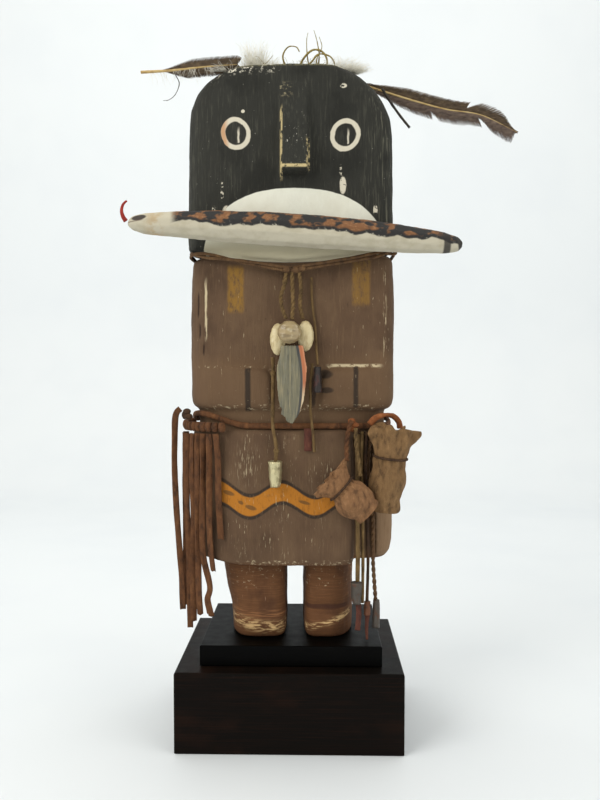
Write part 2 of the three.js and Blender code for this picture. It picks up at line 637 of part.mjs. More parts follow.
// A gathered leather bag along an axis from its belly to its tied neck and ruffled mouth.
function pouch({ centre, axis, radius, depth, belly, neck, mouth, mouthDepth, ruffle }) {
  const along = new THREE.Vector3(...axis).normalize();
  const across = new THREE.Vector3(0, -1, 0).cross(along).normalize().negate();
  const toward = along.clone().cross(across);
  const rows = 12;
  const neckRow = 7;
  return loft(12, rows, (a, b, i) => {
    const down = i <= neckRow;
    const t = down ? i / neckRow : (i - neckRow) / (rows - 1 - neckRow);
    const angle = down ? lerp(-0.47, 0.36, t) * Math.PI : 0;
    const reach = down ? Math.sin(angle) * belly : Math.sin(0.36 * Math.PI) * belly + t * ruffle;
    const wave = 1 + 0.2 * smooth(0.2, 1, t) * Math.sin(5 * Math.atan2(b, a));
    const wide = down ? Math.max(neck, radius * Math.cos(angle)) : lerp(neck, mouth * wave, Math.sin(2 * t));
    const deep = down ? Math.max(neck * 0.8, depth * Math.cos(angle)) : lerp(neck * 0.8, mouthDepth * wave, t);
    return new THREE.Vector3(...centre).addScaledVector(along, reach)
      .addScaledVector(across, a * wide).addScaledVector(toward, b * deep);
  });
}

addPiece("pouch_front", pouch({
  centre: [48.2, -59, 188.4], axis: [-0.74, 0, 0.67], radius: 14.4, depth: 11.4, belly: 14.4,
  neck: 10.4, mouth: 13, mouthDepth: 8, ruffle: 12,
}), 0x7f5b41, 0.9);
addPiece("pouch_side", pouch({
  centre: [72.9, -46.8, 200], axis: [0.12, -0.09, 1], radius: 13.8, depth: 11.5, belly: 21.5,
  neck: 11.8, mouth: 15.3, mouthDepth: 8.5, ruffle: 22,
}), 0x8b6b4a, 0.9);

// ---------------------------------------------------------------- free thongs

const THONG_ROUTES = {
  pendant_thong_left: [2.6, [[-2.4, -48.9, 356], [-3.9, -49, 347], [-6.4, -49, 339],
    [-5.2, -51.5, 330], [-2.4, -56.5, 322.2]]],
  pendant_thong_middle: [2.6, [[1.9, -49, 357], [2.3, -49, 344], [2.7, -50.5, 332.4], [2.2, -56.5, 321.6]]],
  pendant_thong_right: [2.6, [[7.2, -49, 356.5], [8.6, -49, 345], [7.9, -49, 332.4], [10, -49.6, 322.2]]],
  chest_thong: [1.8, [[16.4, -44.4, 353.5], [16.8, -43, 336.5], [18.9, -44, 318], [20.1, -46.5, 300],
    [21, -50, 288]]],
  long_thong: [2.8, [[-12.6, -49, 293.5], [-12.1, -49, 282], [-12.4, -48.6, 265.6], [-12.6, -48.6, 248.4],
    [-12.1, -49.4, 239.5], [-10.2, -50, 229], [-9.8, -51.8, 223], [-10.4, -52.4, 214]]],
  needle_thong: [2.1, [[17.2, -48.4, 289], [15.6, -48.8, 273], [15.7, -48.6, 254.4], [16.4, -50, 247],
    [17.5, -51.2, 237], [18.7, -50.6, 223]]],
  pouch_thong_a: [2.9, [[46.2, -50.8, 246.5], [43.6, -51, 238.2], [42.4, -54, 226.4], [42.6, -58.6, 217.6]]],
  pouch_thong_b: [2.6, [[49.4, -51, 241], [49.6, -52, 228.5], [51.4, -56, 216.2], [52.4, -59, 206.4]]],
  drop_thong_2: [2.4, [[54.5, -44.4, 238], [54.3, -41.5, 208.6], [55.3, -41, 171.3], [55.6, -41, 139.9],
    [55.3, -41, 106.9]]],
  drop_thong_3: [2.4, [[57.8, -43.4, 238], [57.2, -40, 208.3], [58.8, -38.5, 170.8], [59.6, -38.5, 139.3],
    [58.9, -39, 108]]],
  drop_thong_4: [2.6, [[61.4, -42.2, 238], [59.6, -36, 207.9], [63.4, -35, 172.6], [63.6, -36, 138.7],
    [65.6, -36, 108.2]]],
};
for (const [name, [diameter, route]] of Object.entries(THONG_ROUTES)) {
  addPiece(name, thong(route, diameter), 0x72592f, 0.85);
}
addPiece("drop_thong_1", strip([
  [51.1, -44.3, 236], [51.2, -42.9, 201.2], [51.2, -43, 171.6], [51.6, -43.5, 151.9], [51.3, -44.5, 124],
], 3.2, 1.2), 0x7a5f33, 0.85);

addPiece("drop_cone_1", tinCone([50.6, -44.5, 123.6], 107.3, 4.5, 3.4), 0x57504a, 0.5, 0.5);
addPiece("drop_tassel_1", strip([[52, -44.5, 106.9], [52.3, -44.5, 98], [51.4, -44.5, 87]], 4, 1.4),
  0x6d4634, 0.85);
addPiece("drop_cone_3", tinCone([59.1, -39, 107.6], 97.2, 2.3, 2.5), 0x6b3a24, 0.6, 0.3);
addPiece("drop_tassel_3", strip([[59.2, -39, 96.8], [58.6, -39.4, 88], [58.9, -40, 78.4]], 3.4, 1.2),
  0x5a3226, 0.85);
addPiece("drop_cone_4", tinCone([66.2, -36, 107.8], 86.5, 2.5, 2.9), 0x4f4438, 0.55, 0.4);

export default group;
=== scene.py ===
"""A worn kachina doll on its stand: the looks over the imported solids. Metres, +Z up, facing -Y.

Routes and feature places below are in millimetres and are turned into metres by mm()."""
import math
import random

import bpy
import numpy as np
from mathutils import Euler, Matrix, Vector, noise


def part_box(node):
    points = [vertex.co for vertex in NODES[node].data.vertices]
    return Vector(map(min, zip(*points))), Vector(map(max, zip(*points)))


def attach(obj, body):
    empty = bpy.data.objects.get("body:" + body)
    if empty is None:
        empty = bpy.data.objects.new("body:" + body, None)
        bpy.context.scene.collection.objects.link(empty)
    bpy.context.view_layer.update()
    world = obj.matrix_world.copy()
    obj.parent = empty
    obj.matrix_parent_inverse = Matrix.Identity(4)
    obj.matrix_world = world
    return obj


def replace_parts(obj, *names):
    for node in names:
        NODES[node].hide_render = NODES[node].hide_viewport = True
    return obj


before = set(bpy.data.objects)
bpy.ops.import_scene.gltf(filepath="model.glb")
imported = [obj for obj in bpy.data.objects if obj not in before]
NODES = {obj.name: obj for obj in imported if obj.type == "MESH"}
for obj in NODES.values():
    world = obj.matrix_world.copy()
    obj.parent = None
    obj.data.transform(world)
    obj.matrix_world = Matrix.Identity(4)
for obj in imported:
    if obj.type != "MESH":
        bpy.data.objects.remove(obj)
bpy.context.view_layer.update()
MM = 0.001


def mm(points):
    return [Vector(p) * MM for p in points]


# ---------------------------------------------------------------- camera

CAMERA_PLACE = (0.0193, -0.6283, 0.2833)
CAMERA_TURN = (90 - 2.12, 0.0, 1.13)  # degrees

camera = bpy.data.objects.new("camera", bpy.data.cameras.new("camera"))
camera.location = CAMERA_PLACE
camera.rotation_euler = Euler([math.radians(a) for a in CAMERA_TURN])
camera.data.lens = 35.0
camera.data.sensor_width = 36.0
bpy.context.scene.collection.objects.link(camera)
bpy.context.scene.camera = camera


# ---------------------------------------------------------------- shader values

class Value:
    """A number or a vector inside a material; arithmetic on it adds Math nodes."""

    def __init__(self, tree, socket):
        self.tree = tree
        self.socket = socket

    def math(self, operation, *others):
        node = self.tree.nodes.new("ShaderNodeMath")
        node.operation = operation
        for slot, item in enumerate((self, *others)):
            if isinstance(item, Value):
                self.tree.links.new(item.socket, node.inputs[slot])
            else:
                node.inputs[slot].default_value = item
        return Value(self.tree, node.outputs[0])

    def __add__(self, other):
        return self.math("ADD", other)

    __radd__ = __add__

    def __sub__(self, other):
        return self.math("SUBTRACT", other)

    def __rsub__(self, other):
        return (self * -1.0) + other

    def __mul__(self, other):
        return self.math("MULTIPLY", other)

    __rmul__ = __mul__

    def __truediv__(self, other):
        return self.math("DIVIDE", other)

    def __abs__(self):
        return self.math("ABSOLUTE")

    def sine(self):
        return self.math("SINE")

    def least(self, other):
        return self.math("MINIMUM", other)

    def most(self, other):
        return self.math("MAXIMUM", other)

    def rise(self, start, end):
        """0 below start and 1 above end, smooth between; falls where end is below start."""
        flip = end < start
        low, high = (end, start) if flip else (start, end)
        node = self.tree.nodes.new("ShaderNodeMapRange")
        node.interpolation_type = "SMOOTHSTEP"
        self.tree.links.new(self.socket, node.inputs["Value"])
        node.inputs["From Min"].default_value = low
        node.inputs["From Max"].default_value = high
        node.inputs["To Min"].default_value = 1.0 if flip else 0.0
        node.inputs["To Max"].default_value = 0.0 if flip else 1.0
        return Value(self.tree, node.outputs[0])

    def within(self, centre, half, soft):
        """1 within half of centre, falling to 0 over soft."""
        return abs(self - centre).rise(half + soft / 2, half - soft / 2)


def srgb(red, green, blue):
    """A colour as it is seen, 0 to 255, as the linear colour a shader takes."""
    linear = [(c / 255 + 0.055) / 1.055 for c in (red, green, blue)]
    return tuple(c ** 2.4 for c in linear) + (1.0,)


class Finish:
    """One material: its object coordinates in millimetres, its colour layers and its bump."""

    def __init__(self, name, colour, roughness=0.8, metallic=0.0, specular=0.4):
        self.material = bpy.data.materials.new(name)
        self.material.use_nodes = True
        self.tree = self.material.node_tree
        self.shader = self.tree.nodes["Principled BSDF"]
        self.shader.inputs["Roughness"].default_value = roughness
        self.shader.inputs["Metallic"].default_value = metallic
        self.shader.inputs["Specular IOR Level"].default_value = specular
        self.shader.inputs["Base Color"].default_value = colour
        self.colour = colour
        coordinates = self.tree.nodes.new("ShaderNodeTexCoord")
        scaled = self.tree.nodes.new("ShaderNodeVectorMath")
        scaled.operation = "SCALE"
        scaled.inputs["Scale"].default_value = 1 / MM
        self.tree.links.new(coordinates.outputs["Object"], scaled.inputs[0])
        self.place = scaled.outputs[0]
        parts = self.tree.nodes.new("ShaderNodeSeparateXYZ")
        self.tree.links.new(self.place, parts.inputs[0])
        self.x, self.y, self.z = (Value(self.tree, socket) for socket in parts.outputs)

    def noise(self, size, detail=3.0, rough=0.55, shift=0.0, texture="ShaderNodeTexNoise"):
        """Noise whose grains are about size millimetres along x, y and z; 0 to 1."""
        mapping = self.tree.nodes.new("ShaderNodeMapping")
        mapping.inputs["Scale"].default_value = [1 / s for s in size]
        mapping.inputs["Location"].default_value = (shift, shift * 0.7, shift * 1.3)
        self.tree.links.new(self.place, mapping.inputs["Vector"])
        node = self.tree.nodes.new(texture)
        self.tree.links.new(mapping.outputs[0], node.inputs["Vector"])
        node.inputs["Scale"].default_value = 1.0
        if texture == "ShaderNodeTexNoise":
            node.inputs["Detail"].default_value = detail
            node.inputs["Roughness"].default_value = rough
        return Value(self.tree, node.outputs[0])

    def paint(self, mask, colour):
        """Lays colour over what is there, as strongly as mask says. Returns self."""
        node = self.tree.nodes.new("ShaderNodeMix")
        node.data_type = "RGBA"
        self.tree.links.new(mask.socket, node.inputs[0])
        for slot, item in ((6, self.colour), (7, colour)):
            if isinstance(item, tuple):
                node.inputs[slot].default_value = item
            else:
                self.tree.links.new(item, node.inputs[slot])
        self.colour = node.outputs[2]
        self.tree.links.new(self.colour, self.shader.inputs["Base Color"])
        return self

    def rough(self, value):
        self.tree.links.new(value.socket, self.shader.inputs["Roughness"])
        return self

    def bump(self, height, distance):
        """height is 0 to 1, and distance what 1 stands for, in millimetres."""
        node = self.tree.nodes.new("ShaderNodeBump")
        node.inputs["Distance"].default_value = distance * MM
        self.tree.links.new(height.socket, node.inputs["Height"])
        self.tree.links.new(node.outputs[0], self.shader.inputs["Normal"])
        return self


# ---------------------------------------------------------------- meshes

def piece(name, vertices, faces, finish, slot=None, smooth=True):
    """A new object from vertices in metres, riding on the doll."""
    mesh = bpy.data.meshes.new(name)
    mesh.from_pydata([tuple(v) for v in vertices], [], faces)
    mesh.validate()
    mesh.polygons.foreach_set("use_smooth", [smooth] * len(mesh.polygons))
    mesh.materials.append(finish.material)
    made = bpy.data.objects.new(name, mesh)
    bpy.context.scene.collection.objects.link(made)
    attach(made, "root")
    return made


def along(route, spacing):
    """Points about spacing apart on a smooth curve through route, all in metres."""
    ends = [route[0] * 2 - route[1], *route, route[-1] * 2 - route[-2]]
    fine = []
    for a, b, c, d in zip(ends, ends[1:], ends[2:], ends[3:]):
        for k in range(24):
            t = k / 24
            fine.append(0.5 * (2 * b + (c - a) * t + (2 * a - 5 * b + 4 * c - d) * t * t
                               + (3 * b - a - 3 * c + d) * t ** 3))
    fine.append(route[-1].copy())
    lengths = np.concatenate([[0], np.cumsum([(q - p).length for p, q in zip(fine, fine[1:])])])
    count = max(3, round(lengths[-1] / spacing))
    wanted = np.linspace(0, lengths[-1], count + 1)
    table = np.array([tuple(p) for p in fine])
    return [Vector(np.interp(w, lengths, table[:, k]) for k in range(3)) for w in wanted]


def tube(path, section, across=None, closed=False):
    """Vertices and faces of a sweep. section(t, angle_index) gives (side, depth) in metres.

    across is the direction that side keeps to; a closed sweep joins its last ring to its first."""
    across = across or Vector((1, 0, 0))
    count = len(path)
    vertices, faces = [], []
    for i, p in enumerate(path):
        before = path[i - 1] if i or closed else path[0]
        after = path[(i + 1) % count] if i < count - 1 or closed else path[-1]
        forward = (after - before).normalized()
        side = (across - forward * across.dot(forward)).normalized()
        depth = forward.cross(side)
        t = i / (count - 1)
        vertices += [p + side * a + depth * b for a, b in section(t)]
    sides = len(vertices) // count
    for i in range(count if closed else count - 1):
        for k in range(sides):
            j, m = (i + 1) % count, (k + 1) % sides
            faces.append((i * sides + k, i * sides + m, j * sides + m, j * sides + k))
    if not closed:
        faces.append(tuple(range(sides))[::-1])
        faces.append(tuple(range((count - 1) * sides, count * sides)))
    return vertices, faces


def merged(parts):
    """Several (vertices, faces) as one."""
    vertices, faces = [], []
    for own, own_faces in parts:
        start = len(vertices)
        vertices += own
        faces += [tuple(start + i for i in face) for face in own_faces]
    return vertices, faces


def oval(width, depth, sides=10):
    return [(width / 2 * math.cos(2 * math.pi * k / sides), depth / 2 * math.sin(2 * math.pi * k / sides))
            for k in range(sides)]


def lace_section(width, depth, wobble, seed, twist=0.0, taper=0.0, sides=10):
    """A leather lace: its section swells and thins by wobble along it, and turns by twist."""
    def section(t):
        swell = 1 + wobble * noise.noise((t * 11 + seed, seed * 1.7, 0.3)) - taper * t
        turn = twist * t + 0.25 * noise.noise((t * 3, seed, 5.1))
        c, s = math.cos(turn), math.sin(turn)
        points = []
        for k, (a, b) in enumerate(oval(width * swell, depth * swell, sides)):
            lump = 1 + wobble * 0.5 * noise.noise((t * 40, k * 0.9, seed))
            points.append(((a * c - b * s) * lump, (a * s + b * c) * lump))
        return points
    return section


def strip_section(width, depth, seed, wobble=0.12, twist=0.5):
    """A flat cut strip of hide with square edges, uneven in width, turning a little."""
    corners = [(-1, -0.75), (-0.92, -1), (0, -1), (0.92, -1), (1, -0.75),
               (1, 0.75), (0.92, 1), (0, 1), (-0.92, 1), (-1, 0.75)]

    def section(t):
        wide = width / 2 * (1 + wobble * noise.noise((t * 9, seed * 2.3, 1.0)))
        thick = depth / 2 * (1 + 0.2 * noise.noise((t * 13, seed * 3.1, 4.0)))
        bow = depth * 0.25 * noise.noise((t * 5, seed * 0.7, 8.0))
        turn = twist * noise.noise((t * 2.6, seed * 1.3, 2.0))
        c, s = math.cos(turn), math.sin(turn)
        return [(a * wide * c - (b * thick + bow * (1 - a * a)) * s,
                 a * wide * s + (b * thick + bow * (1 - a * a)) * c) for a, b in corners]
    return section


def resurfaced(node, voxel, rounds, change, finish, name=None, smoothing=0.5):
    """A fine-meshed copy of a CAD node that replaces it. change(points, normals) gives new points."""
    source = NODES[node]
    made = bpy.data.objects.new(name or f"{node}_surface", source.data.copy())
    bpy.context.scene.collection.objects.link(made)
    made.data.materials.clear()
    made.data.materials.append(finish.material)
    remesh = made.modifiers.new("fine", "REMESH")
    remesh.mode = "VOXEL"
    remesh.voxel_size = voxel * MM
    soften = made.modifiers.new("soften", "SMOOTH")
    soften.factor = smoothing
    soften.iterations = rounds
    bpy.context.view_layer.update()
    evaluated = made.evaluated_get(bpy.context.evaluated_depsgraph_get())
    mesh = bpy.data.meshes.new_from_object(evaluated)
    made.modifiers.clear()
    made.data = mesh
    if change:
        count = len(mesh.vertices)
        points, normals = np.zeros(count * 3), np.zeros(count * 3)
        mesh.vertices.foreach_get("co", points)
        mesh.vertex_normals.foreach_get("vector", normals)
        moved = change(points.reshape(-1, 3) / MM, normals.reshape(-1, 3))
        mesh.vertices.foreach_set("co", (moved * MM).ravel())
        mesh.update()
    mesh.polygons.foreach_set("use_smooth", [True] * len(mesh.polygons))
    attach(made, "root")
    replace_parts(made, node)
    return made


def rumple(points, size, seed, octaves=2):
    """Smooth noise, about -1 to 1, at each point; size is its grain in millimetres along x, y, z."""
    scaled = points / np.array(size) + seed * 7.31
    return np.array([noise.fractal(tuple(p), 1.0, 2.0, octaves) for p in scaled])


def smooth_between(value, start, end):
    t = np.clip((value - start) / (end - start), 0, 1)
    return t * t * (3 - 2 * t)


# ---------------------------------------------------------------- finishes

def painted_wood():
    """The whole carving's worn paint, laid on by place."""
    f = Finish("painted_carving", srgb(90, 69, 52), 0.86, specular=0.25)
    x, y, z = f.x, f.y, f.z
    front = y.rise(-14, -26)
    cloud = f.noise((26, 26, 34), 4)
    fleck = f.noise((2.2, 2.2, 5.5), 3, 0.7, 3.0)
    streak = f.noise((1.5, 1.5, 17), 4, 0.65, 11.0)
    level_grain = f.noise((18, 18, 0.9), 3, 0.6, 21.0)
    wobble = (f.noise((7, 7, 7), 2, 0.5, 31.0) - 0.5) * 2.4
    cream = srgb(192, 176, 144)

    # Chalky mauve-brown body and kilt.
    f.paint(cloud.rise(0.45, 0.72) * 0.65, srgb(107, 85, 64))
    f.paint(cloud.rise(0.5, 0.27) * 0.7, srgb(70, 52, 38))
    f.paint(streak.rise(0.5, 0.75) * 0.45, srgb(114, 91, 67))
    f.paint(fleck.rise(0.62, 0.75) * 0.5, srgb(67, 50, 37))
    dusty = z.within(268, 26, 16) * front
    f.paint(dusty * 0.5, srgb(106, 82, 59))
    paler_side = x.rise(63.5, 66.5) * z.rise(244, 236) * z.rise(134, 137) * (1.0 - front * y.rise(-29, -31))
    f.paint(paler_side * 0.85, srgb(138, 112, 86))
    f.paint(paler_side * streak.rise(0.5, 0.7) * 0.5, srgb(112, 86, 62))

    # Red-brown legs and shoes.
    leg = z.rise(139, 135)
    f.paint(leg, srgb(97, 64, 40))
    f.paint(leg * level_grain.rise(0.45, 0.68) * 0.55, srgb(121, 82, 52))
    f.paint(leg * cloud.rise(0.52, 0.3) * 0.75, srgb(66, 42, 28))

    # Ochre shoulder patches and the yellow wavy band of the kilt with its dark outline.
    ochre = srgb(140, 104, 44)
    for centre, half, low, high, strength in ((-40.8, 6, 328, 362, 0.85), (53.6, 6.6, 333, 367, 0.62)):
        patch = (x + wobble * 0.35).within(centre, half, 2.5) * (z + wobble * 0.6).within(
            (low + high) / 2, (high - low) / 2, 5)
        f.paint(patch * front * strength * fleck.rise(0.74, 0.42) * cloud.rise(0.25, 0.5), ochre)
    swing = ((x + 5.5) * (2 * math.pi / 49.5)).math("COSINE")
    middle = swing * 5.6 + 186.6
    half = x * -0.024 + 6.4
    off = abs(z - middle + wobble * 0.35)
    reach = x.rise(46, 43) * x.rise(-58, -54) * front
    f.paint((off - half).rise(3.6, 2.2) * reach * fleck.rise(0.8, 0.5) * 0.9, srgb(50, 41, 34))
    f.paint((off - half).rise(0.7, -0.7) * reach, srgb(172, 110, 36))
    f.paint((off - half).rise(0.7, -0.7) * reach * fleck.rise(0.5, 0.7) * 0.6, srgb(124, 80, 32))
    for cx, cz, rx, rz in ((-29.3, 180.4, 4.2, 1.7), (-46.4, 191, 4.4, 1.7), (11.2, 184.6, 4.2, 1.3),
                           (-37, 184, 2, 1.4)):
        spot = (((x - cx) / rx).math("POWER", 2) + ((z - cz + (x - cx) * 0.25) / rz).math("POWER", 2))
        f.paint(spot.rise(1.5, 0.6) * front * 0.75, srgb(92, 66, 38))

    # Black wrist bands and finger marks.
    black = srgb(42, 35, 30)
    for centre, half_width, low, high in ((-31.5, 2.1, 253, 285.5), (49.6, 1.8, 256, 287)):
        band = (x + wobble * 0.4).within(centre, half_width, 1.6) * z.within((low + high) / 2,
                                                                          (high - low) / 2, 2)
        f.paint(band * front * 0.86 * fleck.rise(0.85, 0.55), black)
    for cx, cz, rx, rz in ((26.5, 281, 5.5, 3.3), (27.5, 269, 5.5, 2.2), (17, 268, 2.6, 12)):
        mark = ((x - cx + wobble) / rx).math("POWER", 2) + ((z - cz + wobble * 0.6) / rz).math("POWER", 2)
        f.paint(mark.rise(1.5, 0.5) * front * 0.8, srgb(46, 37, 31))

    # Cream wear: dashes down the kilt, rubbed edges, hem and toes; and a painted highlight on the left foot's upper
    # slope.
    dash = f.noise((0.95, 0.95, 7.5), 3, 0.6, 41.0)
    dabs = f.noise((3.6, 3.6, 2.6), 4, 0.72, 51.0)
    patchy = f.noise((17, 17, 22), 2, 0.5, 61.0)
    worn = (z.within(196, 50, 34) * x.within(-14, 34, 22) * patchy.rise(0.4, 0.62)) * front
    f.paint(worn * dash.rise(0.62, 0.7) * 0.8, cream)
    f.paint(z.within(213, 12, 16) * x.within(-32, 6, 16) * front * dash.rise(0.5, 0.68) * 0.7, cream)
    f.paint(z.within(206, 9, 8) * x.within(25, 9, 9) * front * dash.rise(0.56, 0.66) * 0.7, cream)
    f.paint(z.rise(390, 360) * z.rise(246, 256) * dash.rise(0.69, 0.74) * 0.7, cream)
    ledges = (z + wobble * 0.4)
    f.paint(ledges.within(286.5, 0.9, 1.2) * x.within(0, 70, 6) * front * dabs.rise(0.57, 0.66) * 0.7, cream)
    f.paint(ledges.within(287.6, 1.1, 1.2) * x.within(49, 19, 8) * front * dabs.rise(0.36, 0.5), cream)
    f.paint(ledges.within(256, 2.2, 2.5) * x.within(0, 66, 8) * front * dabs.rise(0.55, 0.66) * 0.85, cream)
    f.paint(z.within(270, 15, 6) * x.within(-9, 7, 6) * front * dabs.rise(0.6, 0.68) * 0.7, cream)
    for centre, low, high, gain in ((-64, 308, 352, 0.42), (71.5, 290, 360, 0.5), (-83, 150, 230, 0.6)):
        ridge = (x + wobble * 0.5).within(centre, 0.9, 1.2) * z.within((low + high) / 2, (high - low) / 2, 8)
        f.paint(ridge * front * streak.rise(gain, gain + 0.1), cream)
    f.paint((z + wobble * 0.3).within(138.5, 1.8, 2) * x.within(8, 46, 14) * dabs.rise(0.52, 0.64) * 0.85, cream)
    f.paint(leg * z.within(123, 7, 7) * dabs.rise(0.6, 0.68) * 0.8, cream)
    f.paint(leg * streak.rise(0.66, 0.72) * z.rise(100, 108) * 0.6, srgb(176, 140, 112))
    toe_left = z - 87 - ((x + 12) * (x + 12)) * 0.006
    toe_right = z - 86 - (x - 16) * 0.3
    brushed = f.noise((9, 9, 1.7), 4, 0.65, 101.0)
    worn_toe = srgb(196, 164, 116)
    left_foot, right_foot = x.rise(6, 2), x.rise(8, 12)
    f.paint(left_foot * (toe_left + wobble * 0.8).within(-1.5, 4.0, 6.0) * front * brushed.rise(0.44, 0.6), worn_toe)
    f.paint(right_foot * (toe_right + wobble * 0.8).within(0.0, 2.0, 3.4) * front * brushed.rise(0.46, 0.58), worn_toe)
    # Painted highlight: the left foot's upper slope, between the toe ridge and the leg, is painted lighter where light
    # from above falls on it.
    f.paint(leg * z.within(95, 3, 5) * left_foot * level_grain.rise(0.5, 0.66) * front * 0.7, srgb(150, 104, 68))
    f.paint(right_foot * z.within(100.6, 1.6, 1.6) * front * 0.7, srgb(56, 32, 26))

    # Head: charcoal black, cream mouth and chin, ringed eyes, rubbed nose.
    chin_dip = (1.0 - (x / 76).math("POWER", 2)).most(0.0) * 10.0
    head = (z + chin_dip).rise(374.6, 375.6)
    charcoal = srgb(45, 45, 41)
    f.paint(head, charcoal)
    f.paint(head * streak.rise(0.5, 0.76) * 0.65, srgb(76, 75, 66))
    f.paint(head * cloud.rise(0.5, 0.34) * 0.6, srgb(30, 30, 27))
    sides = (abs(x) + x * 0.12).rise(54, 82)
    grain = f.noise((1.0, 1.0, 26), 3, 0.6, 71.0)
    f.paint(head * sides * grain.rise(0.54, 0.7) * 0.6, srgb(124, 122, 106))
    specks = f.noise((1.4, 1.4, 2.8), 2, 0.6, 81.0)
    f.paint(head * specks.rise(0.74, 0.77) * 0.7, srgb(188, 184, 174))
    bone = srgb(207, 200, 182)
    mouth = (abs((x - 3.6) / 69.5).math("POWER", 2.3)
             + abs((z - 364.5 + wobble * 0.35) / 54.6).math("POWER", 2.3)).rise(1.012, 0.985)
    f.paint(mouth * head * front, srgb(226, 226, 213))
    f.paint(mouth * head * front * cloud.rise(0.42, 0.7) * 0.4, srgb(204, 200, 182))
    # Painted shadow together with brownish dirt: the white paint of the chin, under the snake, is darkened to an olive
    # brown.
    f.paint(mouth * head * front * z.rise(392, 372) * 0.75, srgb(176, 164, 130))
    for cx, cz, tilt, stain in ((-40.0, 459.9, 0.06, 1), (41.3, 457.9, -0.1, 0)):
        across = (x - cx + (z - cz) * tilt + wobble * 0.75) / 11.3
        upward = (z - cz + wobble * 0.6 + (x - cx) * 0.03) / 12.2
        off = (across * across + upward * upward).math("SQRT")
        eye = off.rise(1.02, 0.95) * off.rise(0.66, 0.74)
        f.paint(eye * front * head, bone)
        if stain:
            f.paint(eye * front * head * across.rise(-0.35, -0.8) * 0.75, srgb(186, 128, 78))
        pupil = off.rise(0.62, 0.55)
        scratch = (x - cx - 2.2 + wobble * 0.8).within(0, 0.7, 1.0) * upward.rise(0.5, 0.0)
        f.paint(pupil * scratch * streak.rise(0.36, 0.46) * front, bone)
    nose_x = x - 4
    on_nose = abs(nose_x).rise(11.4, 10.6) * y.rise(-44.6, -45.4)
    nose_edge = srgb(196, 178, 132)
    left_edge = (nose_x + 9.6).rise(1.0, 0.2) * z.within(452, 25, 8) * f.noise((4, 4, 5), 2, 0.5, 91.0).rise(0.4, 0.5)
    right_edge = (nose_x - 9.2).rise(-1.1, -0.4) * z.within(443, 11, 5) * dabs.rise(0.48, 0.58)
    low_edge = z.within(432.8, 1.1, 1.2) * dabs.rise(0.38, 0.5) * y.rise(-50, -53)
    f.paint(on_nose * left_edge * 0.9, nose_edge)
    f.paint(on_nose * right_edge * 0.9, nose_edge)
    f.paint(on_nose * low_edge, nose_edge)
    f.paint(on_nose * specks.rise(0.66, 0.72) * z.rise(468, 455) * z.rise(431, 434) * 0.7, srgb(200, 196, 184))
    f.paint(on_nose * z.within(491, 5, 4) * x.rise(4, -2) * dabs.rise(0.5, 0.62) * 0.8, srgb(150, 140, 112))
    for cx, cz, rx, rz, gain in ((39.5, 421, 2.4, 6.5, 0.38), (38, 432, 1.0, 5, 0.5), (-47.5, 402, 3, 5, 0.44),
                                 (-50.5, 418, 1.2, 7, 0.5), (-34.5, 476, 1.3, 1.3, 0.2), (40, 494, 2.4, 1.8, 0.45),
                                 (-57, 404, 1.5, 4, 0.5), (64, 403, 1.6, 4, 0.45)):
        mark = ((x - cx + wobble * 0.5) / rx).math("POWER", 2) + ((z - cz) / rz).math("POWER", 2)
        f.paint(mark.rise(1.3, 0.7) * dabs.rise(gain, gain + 0.08) * head * front, bone)
    rim = z.rise(502, 506.5) * x.within(-36, 26, 10) * front
    f.paint(rim * dabs.rise(0.55, 0.61) * 0.95, srgb(214, 208, 192))
    worn_top = z.rise(508.2, 510.2) * x.within(6, 46, 14)
    f.paint(worn_top * (fleck.rise(0.35, 0.6) * 0.75), srgb(128, 122, 92))

    # Age cracks in the arm at the figure's right.
    for cx, cz, half_height in ((-70.5, 334, 9), (-69.3, 314, 5), (-66, 300, 4)):
        crack = (x + wobble * 0.6).within(cx, 0.55, 0.8) * z.within(cz, half_height, 5)
        f.paint(crack * front * 0.85, srgb(38, 26, 22))
    f.bump(streak * 0.5 + fleck * 0.35 + cloud * 0.3 + dash * 0.2, 0.55)
    return f


def snake_paint():
    """Off-white below and black above with rust patches; the edge between them waves."""
    f = Finish("painted_snake", srgb(188, 181, 162), 0.8, specular=0.25)
    x, z = f.x, f.z
    cloud = f.noise((9, 9, 6), 3)
    dabs = f.noise((2.4, 2.4, 1.8), 4, 0.7, 5.0)
    wave = (f.noise((15, 40, 40), 2, 0.5, 9.0) - 0.5) * 9.0
    above = z - (386 - 0.066 * x - 0.00018 * (x * x)) - wave
    f.paint(cloud.rise(0.4, 0.7) * 0.5, srgb(166, 157, 134))
    f.paint(x.within(-97, 5, 9) * cloud.rise(0.4, 0.55) * 0.5, srgb(170, 140, 96))
    band = above.rise(-0.6, 0.6) * x.rise(-86, -80)
    f.paint(band, srgb(46, 45, 45))
    f.paint(band * dabs.rise(0.6, 0.7) * 0.5, srgb(96, 92, 86))
    rust = f.noise((10, 12, 7), 2, 0.5, 15.0).rise(0.46, 0.56) * above.rise(1.6, 3.6)
    f.paint(band * rust * x.rise(112, 104), srgb(122, 84, 56))
    f.paint(band * rust * dabs.rise(0.5, 0.62) * 0.55, srgb(158, 118, 82))
    f.paint(above.within(0.2, 0.9, 1.2) * x.rise(-86, -80) * dabs.rise(0.56, 0.64) * 0.6, srgb(200, 194, 176))
    eye = (((x + 108.5) / 5.4).math("POWER", 2) + ((z - 394.4 - (x + 108) * 0.1) / 2.0).math("POWER", 2))
    f.paint(eye.rise(1.4, 0.7) * 0.95, srgb(50, 42, 40))
    mouth_line = (z - 391.2 - (x + 117) * 0.12).within(0, 0.4, 0.6) * x.rise(-104, -107)
    f.paint(mouth_line * 0.7, srgb(92, 72, 62))
    f.paint(x.within(114, 2.6, 1.6) * 0.9, srgb(48, 46, 45))
    f.paint((x + above * 0.2).rise(121, 122.5), srgb(60, 57, 54))
    f.bump(dabs * 0.5 + cloud * 0.5, 0.4)
    return f


